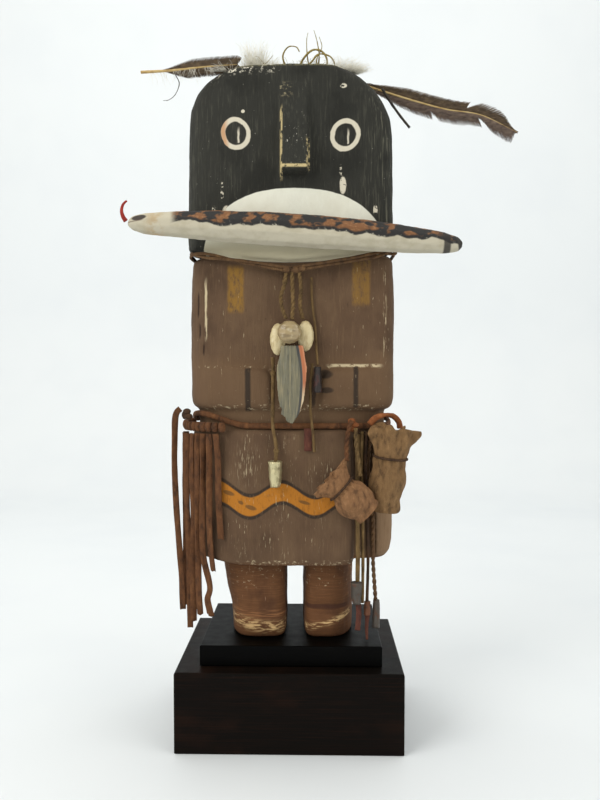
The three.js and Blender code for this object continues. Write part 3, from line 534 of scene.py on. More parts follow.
def leather(name, base, dark, light, grain=0.45, roughness=0.88):
    """Old hide: mottled along its length, with a fine pebbly grain and rubbed light places."""
    f = Finish(name, base, roughness, specular=0.3)
    mottle = f.noise((4, 4, 9), 4, 0.6, 2.0)
    fine = f.noise((0.8, 0.8, 1.1), 3, 0.7, 7.0)
    fibre = f.noise((0.5, 0.5, 5), 3, 0.6, 13.0)
    f.paint(mottle.rise(0.52, 0.3) * 0.8, dark)
    f.paint(mottle.rise(0.52, 0.72) * 0.7, light)
    f.paint(fine.rise(0.56, 0.7) * 0.45, light)
    f.paint(fibre.rise(0.58, 0.7) * 0.35, dark)
    f.bump(fine * 0.6 + fibre * 0.4 + mottle * 0.6, grain)
    return f


def stand_wood(name, base, warm, roughness):
    """Dark stained wood with a fine level grain, satin, faintly redder in places."""
    f = Finish(name, base, roughness, specular=0.05)
    grain = f.noise((60, 60, 1.1), 4, 0.6)
    cloud = f.noise((45, 45, 22), 3, 0.5, 4.0)
    smear = f.noise((8, 8, 9), 4, 0.6, 9.0)
    f.paint(grain.rise(0.45, 0.75) * 0.55, warm)
    f.paint(cloud.rise(0.5, 0.75) * 0.5, warm)
    f.rough(smear * 0.25 + (roughness - 0.1))
    f.bump(grain * 0.7 + smear * 0.3, 0.12)
    return f


def feather_finish(name, base, dark, light):
    f = Finish(name, base, 0.6, specular=0.35)
    streak = f.noise((5, 2, 2), 3, 0.6, 3.0)
    f.paint(streak.rise(0.5, 0.7) * 0.6, light)
    f.paint(streak.rise(0.5, 0.32) * 0.7, dark)
    return f


def down_finish(name, base, shade):
    f = Finish(name, base, 0.9, specular=0.15)
    cloud = f.noise((4, 4, 4), 2)
    f.paint(cloud.rise(0.55, 0.35) * 0.6, shade)
    return f


def shell_finish(name, base, band, tint, roughness, size=(3, 3, 9)):
    f = Finish(name, base, roughness, specular=0.6)
    bands = f.noise(size, 3, 0.6, 6.0)
    f.paint(bands.rise(0.45, 0.65) * 0.7, band)
    f.paint(f.noise((6, 6, 6), 2, 0.5, 12.0).rise(0.55, 0.7) * 0.7, tint)
    f.bump(bands, 0.25)
    return f


def abalone_finish():
    """Grey-green layers down the leaf, a dark line, then an orange edge that turns cream."""
    f = Finish("abalone", srgb(108, 104, 84), 0.38, specular=0.6)
    x, z = f.x, f.z
    grain = f.noise((1.5, 3, 26), 4, 0.6, 3.0)
    f.paint(grain.rise(0.5, 0.68) * 0.85, srgb(150, 138, 106))
    f.paint(grain.rise(0.47, 0.33) * 0.85, srgb(66, 67, 60))
    f.paint(f.noise((3, 3, 8), 2, 0.5, 8.0).rise(0.55, 0.7) * 0.5, srgb(118, 116, 100))
    inner = x + (z - 275).math("POWER", 2) * 0.0044
    f.paint(inner.within(9.0, 0.9, 0.9) * 0.9, srgb(48, 50, 52))
    f.paint(inner.rise(9.7, 10.5), srgb(174, 102, 64))
    f.paint(inner.rise(9.7, 10.5) * z.rise(276, 262), srgb(206, 186, 152))
    f.paint(inner.rise(11.8, 12.8) * z.rise(262, 280) * 0.5, srgb(214, 150, 108))
    f.bump(grain, 0.35)
    return f


def metal_finish(name, base, shade, metallic, roughness, tarnish):
    f = Finish(name, base, roughness, metallic=metallic, specular=0.5)
    dents = f.noise((1.6, 1.6, 2.6), 3, 0.6, 4.0)
    stain = f.noise((4, 4, 6), 3, 0.6, 8.0)
    f.paint(stain.rise(0.5, 0.68) * tarnish, shade)
    f.rough(stain * 0.3 + (roughness - 0.12))
    f.bump(dents, 0.6)
    return f


HIDE = leather("fringe_hide", srgb(94, 60, 36), srgb(52, 33, 21), srgb(122, 82, 50), 0.5)
DARK_HIDE = leather("dark_hide", srgb(66, 46, 31), srgb(36, 26, 19), srgb(90, 64, 42), 0.5)
BELT_HIDE = leather("belt_hide", srgb(94, 60, 35), srgb(56, 35, 21), srgb(122, 80, 46), 0.4)
LOOP_HIDE = leather("loop_hide", srgb(136, 80, 44), srgb(86, 50, 30), srgb(164, 106, 64), 0.4)
CORD_HIDE = leather("neck_hide", srgb(92, 67, 44), srgb(52, 37, 25), srgb(124, 94, 62), 0.5)
TAN_HIDE = leather("tan_lace", srgb(104, 82, 50), srgb(64, 49, 30), srgb(136, 110, 72), 0.4)
POUCH_HIDE = leather("pouch_hide", srgb(130, 94, 63), srgb(80, 56, 37), srgb(164, 124, 87), 0.7)
SIDE_HIDE = leather("side_pouch_hide", srgb(122, 93, 61), srgb(78, 58, 37), srgb(152, 119, 80), 0.7)
RED_HIDE = leather("red_hide", srgb(86, 48, 39), srgb(56, 34, 28), srgb(110, 68, 52), 0.3)
TONGUE = leather("tongue_red", srgb(146, 44, 36), srgb(86, 30, 27), srgb(166, 62, 48), 0.2)
BROWN_VANE = feather_finish("brown_vane", srgb(92, 76, 58), srgb(54, 43, 35), srgb(126, 106, 80))
PURPLE_VANE = feather_finish("grey_brown_vane", srgb(104, 88, 78), srgb(66, 54, 48), srgb(138, 120, 104))
DARK_BARB = feather_finish("dark_barb", srgb(48, 42, 36), srgb(30, 26, 24), srgb(70, 60, 50))
SHAFT = feather_finish("feather_shaft", srgb(190, 162, 108), srgb(150, 118, 72), srgb(214, 194, 146))
DOWN = down_finish("white_down", srgb(236, 233, 222), srgb(192, 188, 172))
FIBRE = down_finish("plant_fibre", srgb(142, 126, 76), srgb(96, 80, 48))
CREAM_SHELL = shell_finish("cream_shell", srgb(206, 190, 148), srgb(172, 150, 106), srgb(218, 206, 172), 0.45)
PEARL = shell_finish("pearly_shell", srgb(160, 140, 104), srgb(116, 98, 68), srgb(196, 184, 156), 0.3, (9, 9, 2.6))
ABALONE = abalone_finish()
TIN = metal_finish("bright_tin", srgb(206, 196, 156), srgb(128, 116, 84), 0.85, 0.36, 0.6)
DARK_METAL = metal_finish("dark_metal", srgb(84, 78, 72), srgb(98, 62, 44), 0.5, 0.55, 0.7)
RUST_METAL = metal_finish("rusty_metal", srgb(112, 70, 48), srgb(66, 52, 46), 0.25, 0.65, 0.7)
BLACK_HORN = metal_finish("dark_tinkler", srgb(40, 33, 31), srgb(78, 38, 32), 0.2, 0.4, 0.6)


# ---------------------------------------------------------------- free laces and strips

def declare(made, node):
    """The piece replaces its solid."""
    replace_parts(made, node)
    return made


def knot(place, size, seed):
    """A small overhand knot: a lumpy bead with a crossing groove."""
    rows, sides = 8, 12
    vertices, faces = [], []
    for i in range(rows + 1):
        phi = math.pi * i / rows
        for k in range(sides):
            a = 2 * math.pi * k / sides
            groove = 1 - 0.16 * math.exp(-((math.sin(a + phi * 1.6 + seed)) / 0.3) ** 2)
            r = max(math.sin(phi), 0.05) * groove
            vertices.append(place + Vector((math.cos(a) * r * size[0], math.sin(a) * r * size[1],
                                            math.cos(phi) * size[2])) * MM)
    for i in range(rows):
        for k in range(sides):
            m = (k + 1) % sides
            faces.append((i * sides + k, (i + 1) * sides + k, (i + 1) * sides + m, i * sides + m))
    faces.append(tuple(range(sides)))
    faces.append(tuple(range(rows * sides, (rows + 1) * sides))[::-1])
    return vertices, faces


def twisted_pair(path, radius, turns, seed):
    """Two strands wound round the path, as one lace of twisted hide."""
    parts = []
    for phase in (0.0, math.pi):
        strand = []
        for i, p in enumerate(path):
            t = i / (len(path) - 1)
            angle = phase + 2 * math.pi * turns * t
            forward = (path[min(i + 1, len(path) - 1)] - path[max(i - 1, 0)]).normalized()
            side = (Vector((1, 0, 0)) - forward * forward.x).normalized()
            depth = forward.cross(side)
            strand.append(p + (side * math.cos(angle) + depth * math.sin(angle)) * radius * 0.45)
        parts.append(tube(strand, lace_section(radius * 1.4, radius * 1.2, 0.12, seed + phase, sides=8)))
    return merged(parts)


def lace(node, diameter, route, finish, slot, knots=(), turns=0, wobble=0.14):
    """A hanging lace along route in millimetres; knots are the heights where one is tied."""
    path = along(mm(route), 0.0011)
    seed = sum(ord(c) for c in node) % 17
    width = diameter * MM
    if turns:
        parts = [twisted_pair(path, width / 2 * 1.1, turns, seed)]
    else:
        parts = [tube(path, lace_section(width, width * 0.86, wobble, seed))]
    for height in knots:
        place = min(path, key=lambda p: abs(p.z / MM - height))
        parts.append(knot(place, (diameter * 0.8, diameter * 0.72, diameter * 0.9), seed))
    made = piece(node + "_lace", *merged(parts), finish, slot)
    return declare(made, node)


def strip(node, width, thickness, route, finish, slot, ragged=0.0, twist=0.5):
    """A hanging flat strip along route in millimetres."""
    path = along(mm(route), 0.0016)
    seed = sum(ord(c) for c in node) % 23 + 1
    parts = tube(path, strip_section(width * MM, thickness * MM, seed, twist=twist), Vector((1, 0, 0)))
    if ragged:
        vertices = parts[0]
        lowest = path[-1].z
        for v in vertices:
            if v.z < lowest + 0.004:
                v.z += ragged * MM * noise.noise((v.x * 900, seed, v.z * 300))
    made = piece(node + "_strip", *parts, finish, slot)
    return declare(made, node)


FRINGE_WIDTH, FRINGE_THICKNESS = 4.6, 1.5
FRINGE = {
    "fringe_strip_1": [(-55.8, -45.5, 236.2), (-54.2, -44.2, 216.2), (-54, -44, 193.4), (-53.3, -44, 174.4),
                       (-52.3, -43.5, 155.6)],
    "fringe_strip_2": [(-61, -43.2, 236), (-61.1, -42, 208.3), (-61.3, -41.5, 177.6), (-60.7, -41, 150.6),
                       (-58.6, -40, 130.4)],
    "fringe_strip_3": [(-65.9, -41, 236), (-66.5, -39, 204), (-67.1, -38.5, 165.5), (-66.5, -38, 141.4),
                       (-61.7, -37, 117.9), (-63.7, -36, 107), (-60.7, -36, 94.5)],
    "fringe_strip_4": [(-70.6, -37.5, 236), (-71.3, -35.5, 207.4), (-71.1, -35, 168.7), (-70.9, -34.5, 137.4),
                       (-70.7, -34, 113.9), (-69.6, -34, 95.1)],
    "fringe_strip_5": [(-75.1, -34, 235.6), (-76.2, -32, 206.8), (-74.9, -31.5, 171.7), (-75.7, -31, 136.6),
                       (-75.6, -30, 112.7), (-75.3, -30, 89.8)],
    "fringe_strip_6": [(-80.2, -28, 235.2), (-81.3, -26, 206.2), (-80.8, -25.5, 174.6), (-79.8, -25, 143),
                       (-79.2, -25, 111.3), (-78.9, -25, 81.8)],
    "fringe_strip_7": [(-82.5, -20, 235), (-83.2, -19, 196.8), (-83, -19, 156.7), (-83.4, -19, 124.8),
                       (-83.9, -19, 97.4)],
    "fringe_strip_8": [(-84.2, -12, 235), (-84, -12, 200), (-84.3, -12, 160), (-83.6, -12, 128),
                       (-84.4, -12, 106)],
    "fringe_strip_9": [(-84.6, -5, 235), (-84.4, -5, 200), (-84.8, -5, 160), (-84, -5, 130), (-84.8, -5, 112)],
    "fringe_strip_loop": [(-84.6, -32.6, 254.4), (-87.4, -32, 251.6), (-88.9, -31, 245.5), (-89.5, -30, 229.8),
                          (-90.1, -28, 210.2), (-89.3, -26, 179.5), (-87.5, -25.5, 151.1), (-85.6, -25, 123.4),
                          (-84.6, -25, 96.5)],
}
for name, route in FRINGE.items():
    hide = DARK_HIDE if name == "fringe_strip_8" else HIDE
    strip(name, FRINGE_WIDTH, FRINGE_THICKNESS, route, hide, "fringe_leather", ragged=2.5, twist=1.1)

lace("pendant_thong_left", 2.6, [(-2.4, -48.9, 356), (-3.9, -49, 347), (-6.4, -49, 339), (-5.2, -51.5, 330),
                                 (-2.4, -56.5, 322.2)], TAN_HIDE, "tan_thong", turns=5, knots=(349,))
lace("pendant_thong_middle", 2.6, [(1.9, -49, 357), (2.3, -49, 344), (2.7, -50.5, 332.4), (2.2, -56.5, 321.6)],
     TAN_HIDE, "tan_thong", turns=4)
lace("pendant_thong_right", 2.6, [(7.2, -49, 356.5), (8.6, -49, 345), (7.9, -49, 332.4), (10, -49.6, 322.2)],
     TAN_HIDE, "tan_thong", turns=5)
lace("chest_thong", 1.8, [(16.4, -44.4, 353.5), (16.8, -43, 336.5), (18.9, -44, 318), (20.1, -46.5, 300),
                          (21, -50, 288)], TAN_HIDE, "tan_thong")
lace("long_thong", 2.8, [(-12.6, -49, 293.5), (-12.1, -49, 282), (-12.4, -48.6, 265.6), (-12.6, -48.6, 248.4),
                         (-12.1, -49.4, 239.5), (-10.2, -50, 229), (-9.8, -51.8, 223), (-10.4, -52.4, 214)],
     TAN_HIDE, "tan_thong", knots=(281, 224), wobble=0.25)
lace("needle_thong", 2.1, [(17.2, -48.4, 289), (15.6, -48.8, 273), (15.7, -48.6, 254.4), (16.4, -50, 247),
                           (17.5, -51.2, 237), (18.7, -50.6, 223)], TAN_HIDE, "tan_thong")
lace("pouch_thong_a", 2.9, [(46.2, -50.8, 246.5), (43.6, -51, 238.2), (42.4, -54, 226.4), (42.6, -58.6, 217.6)],
     HIDE, "tan_thong", turns=3)
lace("pouch_thong_b", 2.6, [(49.4, -51, 241), (49.6, -52, 228.5), (51.4, -56, 216.2), (52.4, -59, 206.4)],
     TAN_HIDE, "tan_thong", turns=3)
strip("drop_thong_1", 3.2, 1.2, [(51.1, -44.3, 236), (51.2, -42.9, 201.2), (51.2, -43, 171.6),
                                 (51.6, -43.5, 151.9), (51.3, -44.5, 124)], TAN_HIDE, "tan_thong",
      twist=0.3)
lace("drop_thong_2", 2.4, [(54.5, -44.4, 238), (54.3, -41.5, 208.6), (55.3, -41, 171.3), (55.6, -41, 139.9),
                           (55.3, -41, 106.9)], TAN_HIDE, "tan_thong")
lace("drop_thong_3", 2.4, [(57.8, -43.4, 238), (57.2, -40, 208.3), (58.8, -38.5, 170.8), (59.6, -38.5, 139.3),
                           (58.9, -39, 108)], DARK_HIDE, "brown_cord")
lace("drop_thong_4", 2.6, [(61.4, -42.2, 238), (59.6, -36, 207.9), (63.4, -35, 172.6), (63.6, -36, 138.7),
                           (65.6, -36, 108.2)], CORD_HIDE, "brown_cord", turns=14)


# ---------------------------------------------------------------- stand and carving

NODES["base_block"].data.materials[0] = stand_wood(
    "base_wood", srgb(14, 11, 9), srgb(36, 21, 14), 0.42).material
NODES["plinth"].data.materials[0] = stand_wood(
    "plinth_black", srgb(2, 2, 2), srgb(6, 5, 4), 0.42).material


def carve(points, normals):
    """Knife work over the whole carving, and the age cracks in one arm."""
    broad = rumple(points, (34, 34, 40), 1)
    cuts = rumple(points, (7, 7, 15), 2, 3)
    fine = rumple(points, (2.2, 2.2, 9), 3)
    depth = 0.55 * broad + 0.3 * cuts + 0.09 * fine
    x, y, z = points.T
    front = smooth_between(-y, 14, 30)
    for cx, cz, half in ((-70.5, 334, 11), (-69.3, 314, 7), (-66, 300, 6)):
        along_it = np.clip(1 - ((z - cz) / half) ** 2, 0, 1)
        depth -= 1.6 * front * along_it * np.exp(-((x - cx - 0.5 * cuts) / 1.1) ** 2)
    bottom = smooth_between(-z, -84, -79)
    return points + normals * (depth * (1 - bottom))[:, None]


resurfaced("figure", 1.65, 3, carve, painted_wood())


def whittle(points, normals):
    return points + normals * (0.35 * rumple(points, (16, 9, 9), 4) + 0.12 * rumple(points, (4, 3, 3), 5))[:, None]


resurfaced("snake", 0.95, 4, whittle, snake_paint())

tongue_path = along(mm([(-119.1, -58.6, 392.8), (-121.3, -58.6, 396.4), (-122.2, -58.6, 400.6),
                        (-121.1, -58.6, 404.8), (-118.3, -58.6, 407.6)]), 0.0005)


def tongue_section(t):
    return oval(0.0034 * (1 - 0.55 * t), 0.0014 * (1 - 0.3 * t))


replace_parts(piece("tongue_curl", *tube(tongue_path, tongue_section), TONGUE, "red_leather"), "snake_tongue")


# ---------------------------------------------------------------- belt, neck cord, roll

def rim(angle, left, right, front, back, corners):
    """A point of a rounded block's outline at that angle, in millimetres."""
    c, s = math.cos(angle), math.sin(angle)
    n = corners[2] if s > 0 else corners[0] if c < 0 else corners[1]
    x = (right if c > 0 else -left) * abs(c) ** (2 / n)
    y = (back if s > 0 else -front) * abs(s) ** (2 / n)
    return x, y


def step_up(value, start, end):
    return float(smooth_between(value, start, end))


def ring_path(outline, level, count):
    points = []
    for k in range(count):
        x, y = rim(2 * math.pi * k / count, **outline)
        points.append(Vector((x, y, level(x, y))) * MM)
    return points


NECK = dict(left=77.8, right=79.4, front=48.4, back=41.5, corners=(4.7, 14, 3))
BELT = dict(left=77, right=77.4, front=42.4, back=44, corners=(3, 4, 3))


def neck_level(x, y):
    lowest = 4
    span = 82 if x < lowest else 76
    dip = max(0.0, 1 - abs(x - lowest) / span) * step_up(-y, 0, 34)
    return HEAD_BOTTOM - 3.4 - 14.5 * dip


def belt_level(x, y):
    return 245 + step_up(-y, -10, 30) * (-3 + 9 * step_up(-x, 30, 72))


HEAD_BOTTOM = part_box("neck_cord")[1].z / MM + 1.4


def wound(path, offset, turns, width, seed):
    """One of two strands that wind round a closed path."""
    strand = []
    count = len(path)
    for i, p in enumerate(path):
        forward = (path[(i + 1) % count] - path[i - 1]).normalized()
        out = forward.cross(Vector((0, 0, 1))).normalized()
        angle = offset + 2 * math.pi * turns * i / count + 0.5 * noise.noise((i * 0.05, seed, 0))
        strand.append(p + (out * math.cos(angle) * 0.5 + Vector((0, 0, 1)) * math.sin(angle)) * width * 0.6)

    def section(t):
        swell = 1 + 0.16 * noise.noise((t * 60, seed, 3))
        return oval(width * swell, width * 0.8 * swell, 9)
    return tube(strand, section, Vector((0, 0, 1)), closed=True)


neck_path = ring_path(NECK, neck_level, 300)
neck_knot = [knot(Vector((x, -49.4, z)) * MM, size, seed) for x, z, size, seed in
             ((-1.5, 358.6, (3.4, 2.0, 2.6), 0.4), (4.4, 358.2, (3.8, 2.0, 2.4), 1.7), (9.4, 359.2, (2.8, 1.8, 2.2), 2.9))]
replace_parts(piece("neck_cord_strands", *merged([
    wound(neck_path, 0.9, 4, 0.0024, 1), wound(neck_path, 0.9 + math.pi, 4, 0.0024, 2), *neck_knot,
]), CORD_HIDE, "brown_cord"), "neck_cord")

belt_path = ring_path(BELT, belt_level, 320)


def belt_section(t):
    swell = 1 + 0.1 * noise.noise((t * 70, 1, 3))
    turn = 0.6 * noise.noise((t * 18, 4, 3))
    c, s = math.cos(turn), math.sin(turn)
    return [(a * c - b * s, a * s + b * c) for a, b in oval(0.0046 * swell, 0.0034 * swell, 12)]


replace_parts(piece("belt_lace", *tube(belt_path, belt_section, Vector((0, 0, 1)), closed=True),
                  BELT_HIDE, "belt_leather"), "belt")

loop_path = along(mm([(60, -44.6, 243.5), (64.5, -44, 248.2), (71.3, -42.4, 250.4), (78, -39.5, 249.4),
                      (82.6, -36.5, 245), (84, -34, 240.2)]), 0.0009)
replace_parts(piece("belt_loop_lace", *tube(loop_path, lace_section(0.0048, 0.003, 0.12, 3)),
                  LOOP_HIDE, "belt_leather"), "belt_loop_right")

left_knot = merged([knot(Vector(p) * MM, size, seed) for p, size, seed in (
    ((-79.6, -31.6, 252.2), (3.2, 3.0, 2.5), 0.2), ((-78.4, -32.4, 248.6), (3.6, 2.8, 2.4), 1.4),
    ((-81.6, -30.6, 249.6), (2.2, 2.6, 3.4), 2.2))])
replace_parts(piece("belt_knot_wraps", *left_knot, DARK_HIDE, "belt_leather"), "belt_knot_left")

twist_knot = merged([knot(Vector(p) * MM, size, seed) for p, size, seed in (
    ((46.6, -47.2, 246), (3.2, 2.3, 2.3), 0.7), ((48.6, -47.4, 243.2), (3.4, 2.4, 2.2), 1.9),
    ((46.8, -47.2, 240.4), (2.9, 2.3, 2.4), 2.6))])
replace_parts(piece("belt_twist_wraps", *twist_knot, LOOP_HIDE, "belt_leather"), "belt_twist")


def roll_lobes():
    """The fringe strips' tops, folded over the belt: a row of leaning fat loops."""
    outline = dict(left=84, right=84, front=51.6, back=51, corners=(2.7, 3, 3))
    parts = []
    count = 15
    for k in range(count):
        angle = math.pi * (1.33 - 0.4 * k / (count - 1))
        x, y = rim(angle, **outline)
        lean = 0.8 * noise.noise((k * 1.3, 2, 1))
        size = 3.1 + 0.8 * noise.noise((k * 2.1, 5, 1))
        lobe = [Vector((x + lean * -1.5, y, 244.6)), Vector((x, y, 241.4)), Vector((x + lean * 1.8, y, 237.4))]
        path = along([p * MM for p in lobe], 0.0006)

        def section(t, size=size):
            full = math.sin(math.pi * (0.12 + 0.8 * t)) ** 0.5
            return oval(size * 1.9 * MM * full, size * 1.9 * MM * full, 10)
        parts.append(tube(path, section))
    return merged(parts)


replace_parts(piece("fringe_roll_loops", *roll_lobes(), HIDE, "fringe_leather"), "fringe_roll")


# ---------------------------------------------------------------- feathers and crown

def barb(root, tip, width, bow, parts):
    """One thin three-sided barb from root to tip, bowed sideways by the vector bow."""
    steps = 4
    path = [root.lerp(tip, i / steps) + bow * math.sin(math.pi * i / steps) for i in range(steps + 1)]

    def section(t):
        w = width * (1 - 0.8 * t)
        return [(w, 0), (-w * 0.5, w * 0.5), (-w * 0.5, -w * 0.5)]
    parts.append(tube(path, section, Vector((0.1, 0.2, 1))))


def vane(shaft, up, reach_front, reach_rear, slant, count, seed, gaps=()):
    """Barbs along both sides of a shaft path. reach_front(t) and reach_rear(t) are in millimetres."""
    rng = random.Random(seed)
    front_parts, rear_parts = [], []
    for side, reach, parts in ((1, reach_front, front_parts), (-1, reach_rear, rear_parts)):
        for k in range(count):
            t = k / (count - 1)
            index = t * (len(shaft) - 1)
            i = min(int(index), len(shaft) - 2)
            root = shaft[i].lerp(shaft[i + 1], index - i)
            forward = (shaft[i + 1] - shaft[i]).normalized()
            across = (up - forward * up.dot(forward)).normalized()
            length = reach(t) * (1 + 0.05 * rng.uniform(-1, 1))
            for centre, spread, cut, which in gaps:
                if which == side and abs(t - centre) < spread:
                    length *= 1 - cut * (1 - abs(t - centre) / spread)
            if length < 0.3:
                continue
            direction = forward * slant + across * side
            tip = root + direction * length * MM + Vector((0, rng.uniform(-0.4, 0.4), 0)) * MM
            barb(root, tip, 0.00062, forward * 0.25 * length * MM * 0.3, parts)
    return merged(front_parts), merged(rear_parts)


def shaft_tube(path, start, end):
    return tube(path, lambda t: oval((start + (end - start) * t) * MM, (start + (end - start) * t) * MM, 8))


LEFT_SHAFT = along(mm([(-112.3, -36, 508.4), (-90, -36, 509.6), (-66, -35.5, 512.2), (-40, -35, 514.2)]), 0.002)
RIGHT_SHAFT = along(mm([(47, 0, 514.4), (72, -3, 505), (98, -5, 496.2), (123, -5, 489.6), (150, -5, 485),
                        (178, -5, 471.5)]), 0.002)
left_up = Vector((0, -math.cos(0.95), math.sin(0.95)))
right_up = Vector((0, -math.cos(1.05), math.sin(1.05)))


def hump(t, full, start, end):
    return full * step_up(t, 0, start) * step_up(-t, -1, -end)


left_front, left_rear = vane(LEFT_SHAFT, left_up, lambda t: hump(t - 0.15, 6.0, 0.35, 0.75) + 0.4,
                             lambda t: hump(t - 0.2, 7.0, 0.2, 0.5) + 0.3, 1.0, 200, 5)
left_quill = piece("feather_left_quill", *shaft_tube(LEFT_SHAFT, 2.4, 0.9), SHAFT, "brown_feather")
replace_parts(left_quill, "feather_left")
piece("feather_left_vane", *merged([left_front, left_rear]), BROWN_VANE, "brown_feather")

right_front, right_rear = vane(RIGHT_SHAFT, right_up, lambda t: hump(t, 7.0, 0.3, 0.78) + 0.7,
                               lambda t: hump(t, 9.0, 0.36, 0.9) + 0.8, 1.25, 330, 8,
                               gaps=((0.66, 0.03, 0.6, 1), (0.74, 0.035, 0.7, -1), (0.45, 0.02, 0.4, -1)))
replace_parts(piece("feather_right_quill", *shaft_tube(RIGHT_SHAFT, 2.2, 0.7), SHAFT, "brown_feather"),
            "feather_right")
piece("feather_right_upper_vane", *right_front, BROWN_VANE, "brown_feather")
piece("feather_right_lower_vane", *right_rear, PURPLE_VANE, "brown_feather")

stub_path = along(mm([(70.5, -20, 500.5), (77.5, -17, 491), (85, -15, 481.5), (92.6, -14, 472.6)]), 0.001)
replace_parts(piece("quill_stub_shaft", *tube(stub_path, lace_section(0.002, 0.0019, 0.15, 4)),
                  DARK_BARB, "quill"), "feather_quill_stub")


def wisps(place, spread, lean, count, low, high, width, seed, curl=0.3):
    """A tuft of fine curved hairs that fan out and up from an oval spot; sizes in millimetres."""
    rng = random.Random(seed)
    parts = []
    for _ in range(count):
        a, r = rng.uniform(0, 2 * math.pi), math.sqrt(rng.random())
        root = Vector((place[0] + spread[0] * r * math.cos(a), place[1] + spread[1] * r * math.sin(a), place[2]))
        length = rng.uniform(low, high)
        direction = Vector((math.cos(a) * 0.8 * r + lean[0] + rng.uniform(-0.3, 0.3),
                            math.sin(a) * 0.4 * r + lean[1] + rng.uniform(-0.2, 0.2),
                            lean[2] + rng.uniform(-0.2, 0.3))).normalized()
        bow = Vector((rng.uniform(-1, 1), rng.uniform(-0.5, 0.5), rng.uniform(-0.3, 0.6))) * length * curl * MM
        barb(root * MM, (root + direction * length) * MM, width * MM, bow, parts)
    return parts


def strand(route, width, taper=0.6, seed=1):
    path = along(mm(route), 0.0007)
    return tube(path, lace_section(width * MM, width * 0.8 * MM, 0.2, seed, taper=taper, sides=7))


floor_of_crown = 510.6
down_left = merged(
    wisps((-24, -24, floor_of_crown), (10, 7), (0.05, -0.1, 1.0), 420, 6, 15, 0.26, 11)
    + wisps((-26, -25, floor_of_crown), (3, 3), (-0.05, -0.1, 1.6), 160, 16, 26, 0.24, 12, 0.14)
    + wisps((-50, -33, floor_of_crown - 1), (7, 3), (-0.9, -0.2, 0.35), 120, 5, 11, 0.23, 13)
)
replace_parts(piece("crown_down_left_hairs", *down_left, DOWN, "white_down"), "crown_down_left")
down_right = merged(
    wisps((38, -24, floor_of_crown), (9, 6), (0.6, -0.1, 0.7), 380, 5, 13, 0.26, 14)
    + wisps((44, -25, floor_of_crown - 0.5), (5, 4), (1.2, -0.1, 0.45), 130, 9, 17, 0.23, 15, 0.2)
    + wisps((22, -24, floor_of_crown), (14, 5), (0.1, -0.1, 0.8), 160, 3, 8, 0.15, 16)
)
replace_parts(piece("crown_down_right_hairs", *down_right, DOWN, "white_down"), "crown_down_right")
fibres = merged([
    strand([(0, -24, 511), (-4.5, -26, 518), (-5.5, -27, 524), (-1.5, -28, 529.5), (4.5, -28, 529.5), (7, -28, 526)],
           1.6, 0.5, 2),
    strand([(5, -25, 511), (10, -27, 521), (17, -28, 527), (24, -28, 526), (28, -27, 520), (27, -26, 513)], 1.9, 0.3, 3),
    strand([(9, -25, 511), (16, -28, 518), (22, -28, 524), (31, -27, 522), (35, -26, 514)], 1.7, 0.4, 4),
    strand([(15, -25, 511), (13, -27, 523), (12.5, -28, 534), (13.5, -28, 540)], 1.3, 0.7, 5),
    strand([(20, -25, 511), (22, -27, 522), (20.5, -28, 533), (18, -28, 542)], 1.4, 0.7, 6),
    strand([(24, -25, 511), (20, -28, 519), (24, -28, 529), (22, -28, 537)], 1.2, 0.7, 7),
    strand([(-15, -27, 512), (-20, -28, 517), (-24, -28, 522), (-27, -27, 523)], 0.8, 0.6, 8),
    strand([(-24, -27, 515), (-19, -28, 517), (-15, -28, 521), (-13, -27, 524)], 0.8, 0.6, 9),
    strand([(2, -24, 511), (0, -26, 514), (-6, -28, 516), (-12, -28, 515)], 1.3, 0.5, 10),
] + wisps((12, -24, floor_of_crown), (17, 6), (0, -0.15, 0.9), 110, 4, 12, 0.3, 17, 0.5)
  + wisps((-5, -26, floor_of_crown), (8, 4), (0, -0.15, 0.7), 60, 3, 7, 0.35, 18, 0.6))
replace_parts(piece("crown_fibre_strands", *fibres, FIBRE, "plant_fibre"), "crown_fibres")

barbs = []
rng = random.Random(3)
for k in range(46):
    t = rng.uniform(0.1, 0.75)
    root = LEFT_SHAFT[int(t * (len(LEFT_SHAFT) - 1))]
    tip = root + Vector((rng.uniform(-4, 6), rng.uniform(-3, 0), -rng.uniform(5, 13))) * MM
    barb(root, tip, 0.00017, Vector((rng.uniform(-2, 2), 0, 0)) * MM, barbs)
piece("feather_left_fluff", *merged(barbs), DOWN, "white_down")
dark_barbs = [
    strand([(-86, -37, 506), (-83, -38, 499), (-86, -38, 491), (-91, -38, 487), (-95, -38, 486.5)], 0.8, 0.5, 11),
    strand([(66, -12, 506), (60, -14, 507), (54, -16, 503.5)], 0.5, 0.6, 12),
    strand([(68, -12, 503), (61, -14, 501.5), (55, -16, 500)], 0.5, 0.6, 13),
    strand([(66, -12, 500), (72, -13, 498), (78, -14, 497)], 0.5, 0.6, 14),
]
piece("feather_loose_barbs", *merged(dark_barbs), DARK_BARB, "brown_feather")


# ---------------------------------------------------------------- shells, cones and tags

def shell_lines(points, normals):
    return points + normals * (0.16 * rumple(points, (5, 5, 1.5), 6))[:, None]


for name, finish, slot in (("shell_middle", PEARL, "pearly_shell"), ("shell_left", CREAM_SHELL, "cream_shell"),
                           ("shell_right", CREAM_SHELL, "cream_shell")):
    resurfaced(name, 0.5, 6, shell_lines, finish)


def flake(points, normals):
    """Layers down the abalone leaf and a chipped lower edge."""
    x, y, z = points.T
    layers = rumple(points, (2.0, 8, 30), 7, 3)
    chips = rumple(points, (3.2, 9, 3.2), 8, 3)
    low = smooth_between(-z, -268, -250)
    moved = points + normals * (0.3 * layers)[:, None]
    moved[:, 2] += low * 1.5 * chips
    moved[:, 0] += low * 0.8 * chips
    return moved


resurfaced("abalone_pendant", 0.45, 5, flake, ABALONE)


